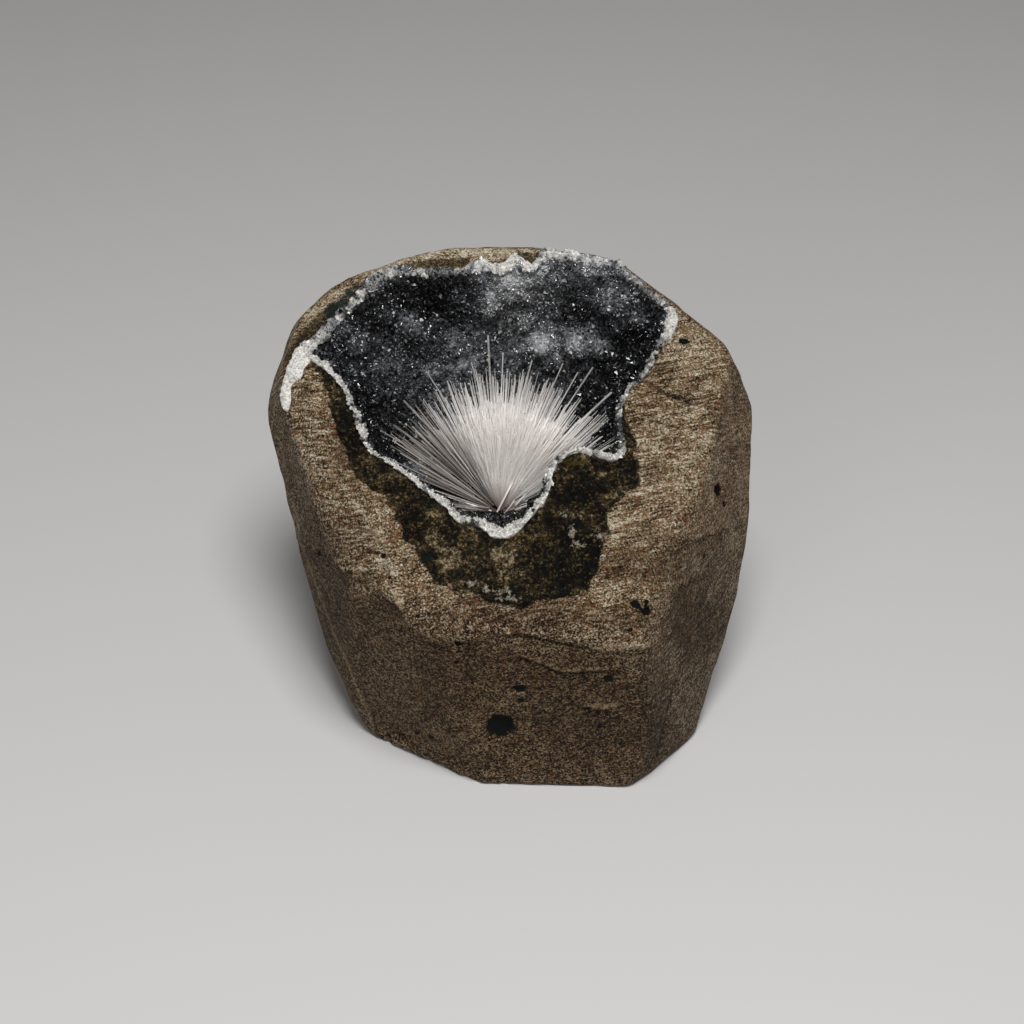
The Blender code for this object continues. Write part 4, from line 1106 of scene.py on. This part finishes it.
def quartz_points(rings, white, milky, material):
    """Small six-sided quartz points crowded over the crust, as one piece for each half of the hollow."""
    rng = np.random.default_rng(5)
    places, normals, (whiteness, milky) = crystal_places(rings, (white, milky), rng)
    sizes = np.clip(POINT_SIZE * np.exp(POINT_VARIETY * rng.standard_normal(POINT_TRIES)), *POINT_SIZES)
    sizes = np.where(whiteness > 0.3, np.clip(EDGE_POINT_GROWTH * sizes, *EDGE_POINT_SIZES), sizes)
    kept = spread_out(places, sizes)[:MOST_POINTS]
    places, normals, whiteness, milky = (values[kept] for values in (places, normals, whiteness, milky))
    size = sizes[kept, None]
    count = len(kept)
    lean = unit(normals + POINT_LEAN * rng.standard_normal((count, 3)))
    side = unit(np.cross(lean, rng.standard_normal((count, 3))))
    other = np.cross(lean, side)
    height = size * rng.uniform(0.7, 1.25, (count, 1)) * (1.0 - 0.3 * whiteness[:, None])
    foot = places - POINT_SUNK * size * lean
    points = [
        foot + corner_way(corner, 6, side, other) * size * rng.uniform(0.82, 1.12, (count, 1))
        for corner in range(6)]
    points.append(places + lean * height + 0.28 * size * rng.uniform(-1, 1, (count, 1)) * side)
    points = np.stack(points, axis=1)
    # painted glints: a few crystals are made much whiter, among random changes of milkiness
    glint = 0.13 * rng.standard_normal(count)
    glint += np.where(rng.random(count) < 0.07, rng.uniform(0.2, 0.6, count), 0.0)
    milky = np.clip(milky * rng.uniform(0.7, 1.2, count) + glint, 0.0, 1.0)
    clouding = np.where(rng.random(count) < 0.25, rng.uniform(0.4, 0.8, count), rng.uniform(0.85, 1.0, count))
    whiteness = eased_step(0.3, 0.6, whiteness) * clouding
    pieces = []
    for name, half in (("quartz_points_left", places[:, 0] < 0), ("quartz_points_right", places[:, 0] >= 0)):
        faces = repeated_faces(POINT_FACES, half.sum(), POINT_CORNERS)
        pieces.append(mesh_object(
            name, points[half].reshape(-1, 3), faces, material, smooth=False,
            white=np.repeat(whiteness[half], POINT_CORNERS), milky=np.repeat(milky[half], POINT_CORNERS)))
    return pieces


def quartz_vein(material):
    """The white vein on the block's left shoulder, lumpy and a little proud of the rock."""
    outline = closed_curve(VEIN_PX, VEIN_COLUMNS)
    outline = outline + inward_in_picture(outline) * picture_noise(outline, [(0.9, 5.0)], 81)
    nearest = np.argmin(np.linalg.norm(outline[:, None] - VEIN_SPINE_PX, axis=-1), axis=1)
    centre = blurred_around(VEIN_SPINE_PX[nearest], 0.03)
    foot = on_block(outline)
    rings = [foot - outward(foot) * VEIN_ROOT]
    for share in np.linspace(1.0, 0.06, VEIN_RINGS):
        level = on_block(centre + (outline - centre) * share)
        crown = VEIN_SIDE * (share < 1.0) + VEIN_CROWN * math.sqrt(1.0 - share ** 2)
        lumps = bumps(level, VEIN_WAVES, VEIN_DOMES) * min(1.0, 3.0 * (1.0 - share))
        rings.append(level + outward(level) * (crown + lumps)[:, None])
    points, faces = closed_rings(np.array(rings), rings[0].mean(axis=0), rings[-1].mean(axis=0))
    white = np.clip(0.95 + 0.25 * noise(points, 1.5, 84), 0.0, 1.0)
    return mesh_object("quartz_vein", points, faces, material, white=white, milky=np.full(len(points), 0.8))


# The spray: where it grows from, how far its middle spreads sideways and in depth, and its lengths and counts
SPRAY_BASE_PX = (500.0, 512.0)
SPRAY_BASE_NEARER = 18.0
CORE_SIDES = (-27.0, 43.0)
CORE_DEPTHS = (-20.0, 17.0)
NEEDLE_FURTHEST = 57.0
CORE_REACH = 29.5
CORE_ROWS = 24
CORE_COLUMNS = 56
FINE_NEEDLES = 9500
BODY_NEEDLES = 5400
TIP_NEEDLES = 500
# Outer needles: how many, between which angles to the side, and how far the longest reach
OUTER_NEEDLES = [(44, -67.0, -36.0, 45.0), (90, 42.0, 63.0, 47.0)]
LOW_NEEDLES = 64
# Needles seen singly: from x, y to x, y in the picture, how far they stand in front, and their half-width
SINGLE_NEEDLES_PX = [
    (495, 470, 488, 335, -1.0, 0.3), (520, 460, 563, 363, 0.0, 0.22), (525, 470, 593, 367, -1.0, 0.2),
    (480, 465, 447, 380, 1.0, 0.26), (460, 460, 403, 400, 1.0, 0.27), (455, 468, 393, 425, 1.5, 0.27),
    (560, 440, 612, 392, 0.0, 0.32), (455, 475, 380, 430, 0.0, 0.2), (450, 478, 392, 440, 2.0, 0.26),
    (470, 440, 427, 372, 0.5, 0.2), (500, 430, 503, 352, 0.0, 0.2), (490, 420, 471, 362, 0.0, 0.22),
    (515, 420, 532, 360, 0.5, 0.21), (545, 430, 578, 372, 0.5, 0.21), (497, 512, 523, 462, 5.0, 0.34),
    (455, 505, 490, 508, 3.0, 0.24), (500, 520, 515, 500, 4.0, 0.26), (448, 497, 492, 511, 2.0, 0.2),
    (425, 478, 488, 507, 1.0, 0.22), (545, 497, 512, 512, 2.0, 0.22), (541, 478, 515, 506, 3.0, 0.22),
]


def in_front(points_px, nearer):
    """Points under points of the picture, nearer to the eye than the middle of what it sees."""
    ray = sight_lines(np.asarray(points_px, float))
    return EYE_POINT + ray * (EYE_DISTANCE - nearer) / -(ray @ TOWARDS_EYE)[..., None]


def spray_base():
    """The point that the needles radiate from."""
    return in_front(SPRAY_BASE_PX, SPRAY_BASE_NEARER)


def needle_sides(start, end, half_width, rng):
    """The growth direction of needles and their half-widths in two directions across it."""
    growth = unit(end - start)
    wide = unit(np.cross(growth, rng.standard_normal(start.shape))) * half_width[:, None]
    return growth, wide, np.cross(growth, wide)


def needle_points(start, end, half_width, rng):
    """Points of four-sided needles with chisel tips, ten for each needle."""
    growth, wide, thick = needle_sides(start, end, half_width, rng)
    thick = thick * rng.uniform(0.6, 1.0, (len(start), 1))
    shoulder = end - growth * (1.2 * half_width)[:, None]
    corners = [
        centre + spread * (first * wide + second * thick)
        for centre, spread in ((start, 0.75), (shoulder, 1.0))
        for first, second in ((1, 1), (-1, 1), (-1, -1), (1, -1))]
    return np.stack([*corners, end + 0.35 * wide, end - 0.35 * wide], axis=1)


def splinter_points(start, end, half_width, rng):
    """Points of three-sided needles that end in a point, seven for each needle."""
    growth, wide, thick = needle_sides(start, end, half_width, rng)
    shoulder = end - growth * (4.0 * half_width)[:, None]
    corners = [
        centre + spread * corner_way(corner, 3, wide, thick)
        for centre, spread in ((start, 0.7), (shoulder, 1.0)) for corner in range(3)]
    return np.stack([*corners, end], axis=1)


NEEDLE_FACES = [
    [0, 1, 5, 4], [1, 2, 6, 5], [2, 3, 7, 6], [3, 0, 4, 7], [3, 2, 1, 0], [4, 5, 9, 8], [6, 7, 8, 9],
    [5, 6, 9], [7, 4, 8],
]
SPLINTER_FACES = [[0, 1, 4, 3], [1, 2, 5, 4], [2, 0, 3, 5], [2, 1, 0], [3, 4, 6], [4, 5, 6], [5, 3, 6]]


def fan_directions(side_degrees, depth_degrees):
    """Growth directions from angles to the right of the picture's upward direction and towards the eye."""
    side_angle = np.radians(side_degrees)[:, None]
    depth_angle = np.radians(depth_degrees)[:, None]
    fan = np.cos(side_angle) * PICTURE_UP + np.sin(side_angle) * PICTURE_RIGHT
    return np.cos(depth_angle) * fan + np.sin(depth_angle) * TOWARDS_EYE


def fan_core(base):
    """The grown-together middle of the spray: points and faces of a closed fan."""
    side, depth = np.meshgrid(np.linspace(*CORE_SIDES, CORE_COLUMNS), np.linspace(*CORE_DEPTHS, CORE_ROWS))
    directions = fan_directions(side.ravel(), depth.ravel())
    across = np.tile(np.linspace(-1.0, 1.0, CORE_COLUMNS), CORE_ROWS)
    reach = CORE_REACH * (1.0 - 0.2 * across ** 4) * np.cos(np.radians(0.8 * (depth.ravel() - 8.0)))
    reach = reach + bumps(directions * 40.0, CORE_WAVES)
    points = np.concatenate([base + directions * reach[:, None], [base]])
    index = np.arange(CORE_ROWS * CORE_COLUMNS).reshape(CORE_ROWS, CORE_COLUMNS)
    quads = np.stack([index[:-1, :-1], index[:-1, 1:], index[1:, 1:], index[1:, :-1]], axis=-1).reshape(-1, 4)
    border = np.concatenate([index[0, :-1], index[:-1, -1], index[-1, :0:-1], index[:0:-1, 0]])
    root = np.full(len(border), len(points) - 1)
    sides = np.stack([np.roll(border, -1), border, root], axis=-1)
    return points, quads.tolist() + sides.tolist()


def tufts(side, depth):
    """How much further the needles reach in some directions than in others."""
    return bumps(np.stack([side, depth, np.zeros_like(side)], axis=-1), TUFT_WAVES)


def crowded(rng, count, middle, left_spread, right_spread, low, high):
    """Angles crowded around a middle, with those beyond the limits drawn evenly between them."""
    angles = rng.standard_normal(count)
    angles = middle + angles * np.where(angles < 0, left_spread, right_spread)
    return np.where((angles < low) | (angles > high), rng.uniform(low, high, count), angles)


def spray_needles(base, rng):
    """All needles of the spray: starts, ends and half-widths of the fine ones, then of the stout ones."""

    def grown(side, depth, start, reach, half_widths, scatter=0.014):
        """Starts, ends and half-widths of needles from their angles and how far out they start and reach."""
        count = len(side)
        growth = unit(fan_directions(side, depth) + scatter * rng.standard_normal((count, 3)))
        ends = (base + growth * start[:, None], base + growth * reach[:, None])
        return *ends, rng.uniform(*half_widths, count)

    side = crowded(rng, FINE_NEEDLES, 8.0, 15.0, 18.0, -34.0, 50.0)
    depth = 13.0 + 16.0 * rng.random(FINE_NEEDLES) ** 1.5 * np.cos(np.radians(1.2 * side))
    start = rng.uniform(1.0, 22.0, FINE_NEEDLES)
    reach = start + rng.uniform(6.0, 13.0, FINE_NEEDLES)
    fine = [grown(side, depth, start, reach, (0.04, 0.09), 0.02)]

    side = crowded(rng, BODY_NEEDLES, 7.0, 15.5, 20.0, -46.0, 57.0)
    depth = rng.uniform(-22.0, 23.0, BODY_NEEDLES)
    start = rng.uniform(10.0, 26.0, BODY_NEEDLES)
    reach = rng.uniform(26.0, 35.5, BODY_NEEDLES) * (1.0 - 0.08 * (side / 60.0) ** 2) + tufts(side, depth)
    fine.append(grown(side, depth, start, reach, (0.07, 0.15)))

    side = crowded(rng, TIP_NEEDLES, 4.0, 26.0, 26.0, -60.0, 61.0)
    depth = rng.uniform(-20.0, 20.0, TIP_NEEDLES)
    start = rng.uniform(14.0, 26.0, TIP_NEEDLES)
    reach = 34.0 + 12.5 * rng.random(TIP_NEEDLES) ** 1.5 + 0.7 * tufts(side, depth)
    stout = [grown(side, depth, start, reach, (0.06, 0.18))]

    for count, low, high, furthest in OUTER_NEEDLES:
        side = rng.uniform(low, high, count)
        depth = rng.uniform(-12.0, 20.0, count)
        start = rng.uniform(2.0, 16.0, count)
        reach = rng.uniform(26.0, furthest, count)
        stout.append(grown(side, depth, start, reach, (0.06, 0.18), 0.02))

    side = rng.choice([-1.0, -1.0, 1.0], LOW_NEEDLES) * rng.uniform(60.0, 86.0, LOW_NEEDLES)
    depth = rng.uniform(-6.0, 20.0, LOW_NEEDLES)
    start = rng.uniform(1.0, 5.0, LOW_NEEDLES)
    reach = (34.0 - 0.75 * (np.abs(side) - 60.0)) * rng.uniform(0.45, 1.0, LOW_NEEDLES)
    reach = np.where(side > 0, 0.55 * reach, reach)
    stout.append(grown(side, depth, start, reach, (0.07, 0.17), 0.04))

    singles = np.array(SINGLE_NEEDLES_PX)
    nearer = singles[:, 4:5] + SPRAY_BASE_NEARER
    stout.append((in_front(singles[:, :2], nearer), in_front(singles[:, 2:4], nearer), singles[:, 5]))
    return [[np.concatenate(parts) for parts in zip(*groups)] for groups in (fine, stout)]


def dullness(start, end, base):
    """How brown, darkened and see-through needles are: those that lie over to the sides, mostly the left; the
    darkening is partly their own colour and partly painted shade.
    """
    middle = 0.5 * (start + end) - base
    side = np.degrees(np.arctan2(middle @ PICTURE_RIGHT, middle @ PICTURE_UP))
    return eased_step(-16.0, -48.0, side) + 0.3 * eased_step(36.0, 56.0, side)


def scolecite_needles(material):
    """The spray as one piece: its grown-together middle and its thousands of needles."""
    rng = np.random.default_rng(9)
    base = spray_base()
    points, faces = fan_core(base)
    shade = [np.full(len(points), 0.6)]
    dull = [np.zeros(len(points))]
    fine, stout = spray_needles(base, rng)
    for needles, shaped, pattern, unevenness in (
            (fine, splinter_points, SPLINTER_FACES, 0.12), (stout, needle_points, NEEDLE_FACES, 0.16)):
        corners = shaped(*needles, rng)
        count, each = corners.shape[:2]
        faces += repeated_faces(pattern, count, each, len(points))
        points = np.concatenate([points, corners.reshape(-1, 3)])
        shade.append(np.repeat(rng.normal(0.55, unevenness, count), each))
        # side needles darker and browner, partly as painted shade
        brown = dullness(*needles[:2], base)
        if needles is stout:
            brown = brown * rng.uniform(0.5, 1.0, count)
        dull.append(np.repeat(brown, each))
    return mesh_object(
        "scolecite_needles", points, faces, material, smooth=False, shade=np.concatenate(shade),
        dull=np.concatenate(dull))


def pale_floor():
    """A plain pale floor just under the specimen."""
    material, tree, shader = new_material("pale_floor")
    put(tree, shader, {"Base Color": (0.62, 0.61, 0.60, 1.0), "Roughness": 0.9})
    corners = [(-4000, -4000, 0), (4000, -4000, 0), (4000, 4000, 0), (-4000, 4000, 0)]
    floor = mesh_object("floor", corners, [[0, 1, 2, 3]], material, smooth=False)
    floor.location.z = -0.0002
    return floor


def aimed(name, data, place, direction):
    """A light or a camera at a place in metres, pointed in a direction."""
    thing = placed(name, data)
    thing.location = place
    thing.rotation_euler = Vector(direction).to_track_quat("-Z", "Y").to_euler()
    return thing


def area_light(name, place, size, power):
    """A soft light that points at the specimen."""
    data = bpy.data.lights.new(name, "AREA")
    data.shape = "DISK"
    data.size = size
    data.energy = power
    return aimed(name, data, place, AIM_POINT * METRES - place)


def studio():
    """Floor, lights, plain surroundings and the camera at the photograph's viewing angle."""
    pale_floor()
    area_light("key", (0.08, -0.59, 1.18), 0.45, 15.0)
    area_light("fill", (-0.5, -1.3, 0.9), 0.7, 3.0)
    world = bpy.data.worlds.new("surroundings")
    world.use_nodes = True
    light_from = world.node_tree.nodes["Background"]
    put(world.node_tree, light_from, {"Color": (0.78, 0.79, 0.8, 1.0), "Strength": 0.12})
    scene = bpy.context.scene
    scene.world = world
    lens = bpy.data.cameras.new("camera")
    lens.lens = LENS
    lens.sensor_width = SENSOR
    scene.camera = aimed("camera", lens, EYE_POINT * METRES, -TOWARDS_EYE)
    scene.view_settings.view_transform = "Standard"


def finished(piece, slot, *nodes):
    """A piece that moves with the specimen, with the imported parts that it replaces hidden; the slot is not
    used.
    """
    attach(piece, "root")
    if nodes:
        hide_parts(*nodes)
    return piece


outer_edge, inner_edge, edge_whiteness = rim_edges()
skin, outer_edge = basalt_skin(outer_edge, basalt_material())
finished(skin, "basalt", "basalt_matrix")
crust, *crust_surface = crust_skin(
    outer_edge, inner_edge, edge_whiteness, quartz_material("quartz_crust", False))
finished(crust, "quartz", "quartz_crust")
for piece in quartz_points(*crust_surface, quartz_material("quartz_crystal", True)):
    finished(piece, "quartz")
finished(quartz_vein(quartz_material("white_vein", False)), "quartz")
finished(scolecite_needles(scolecite_material()), "scolecite", "scolecite_spray")
studio()
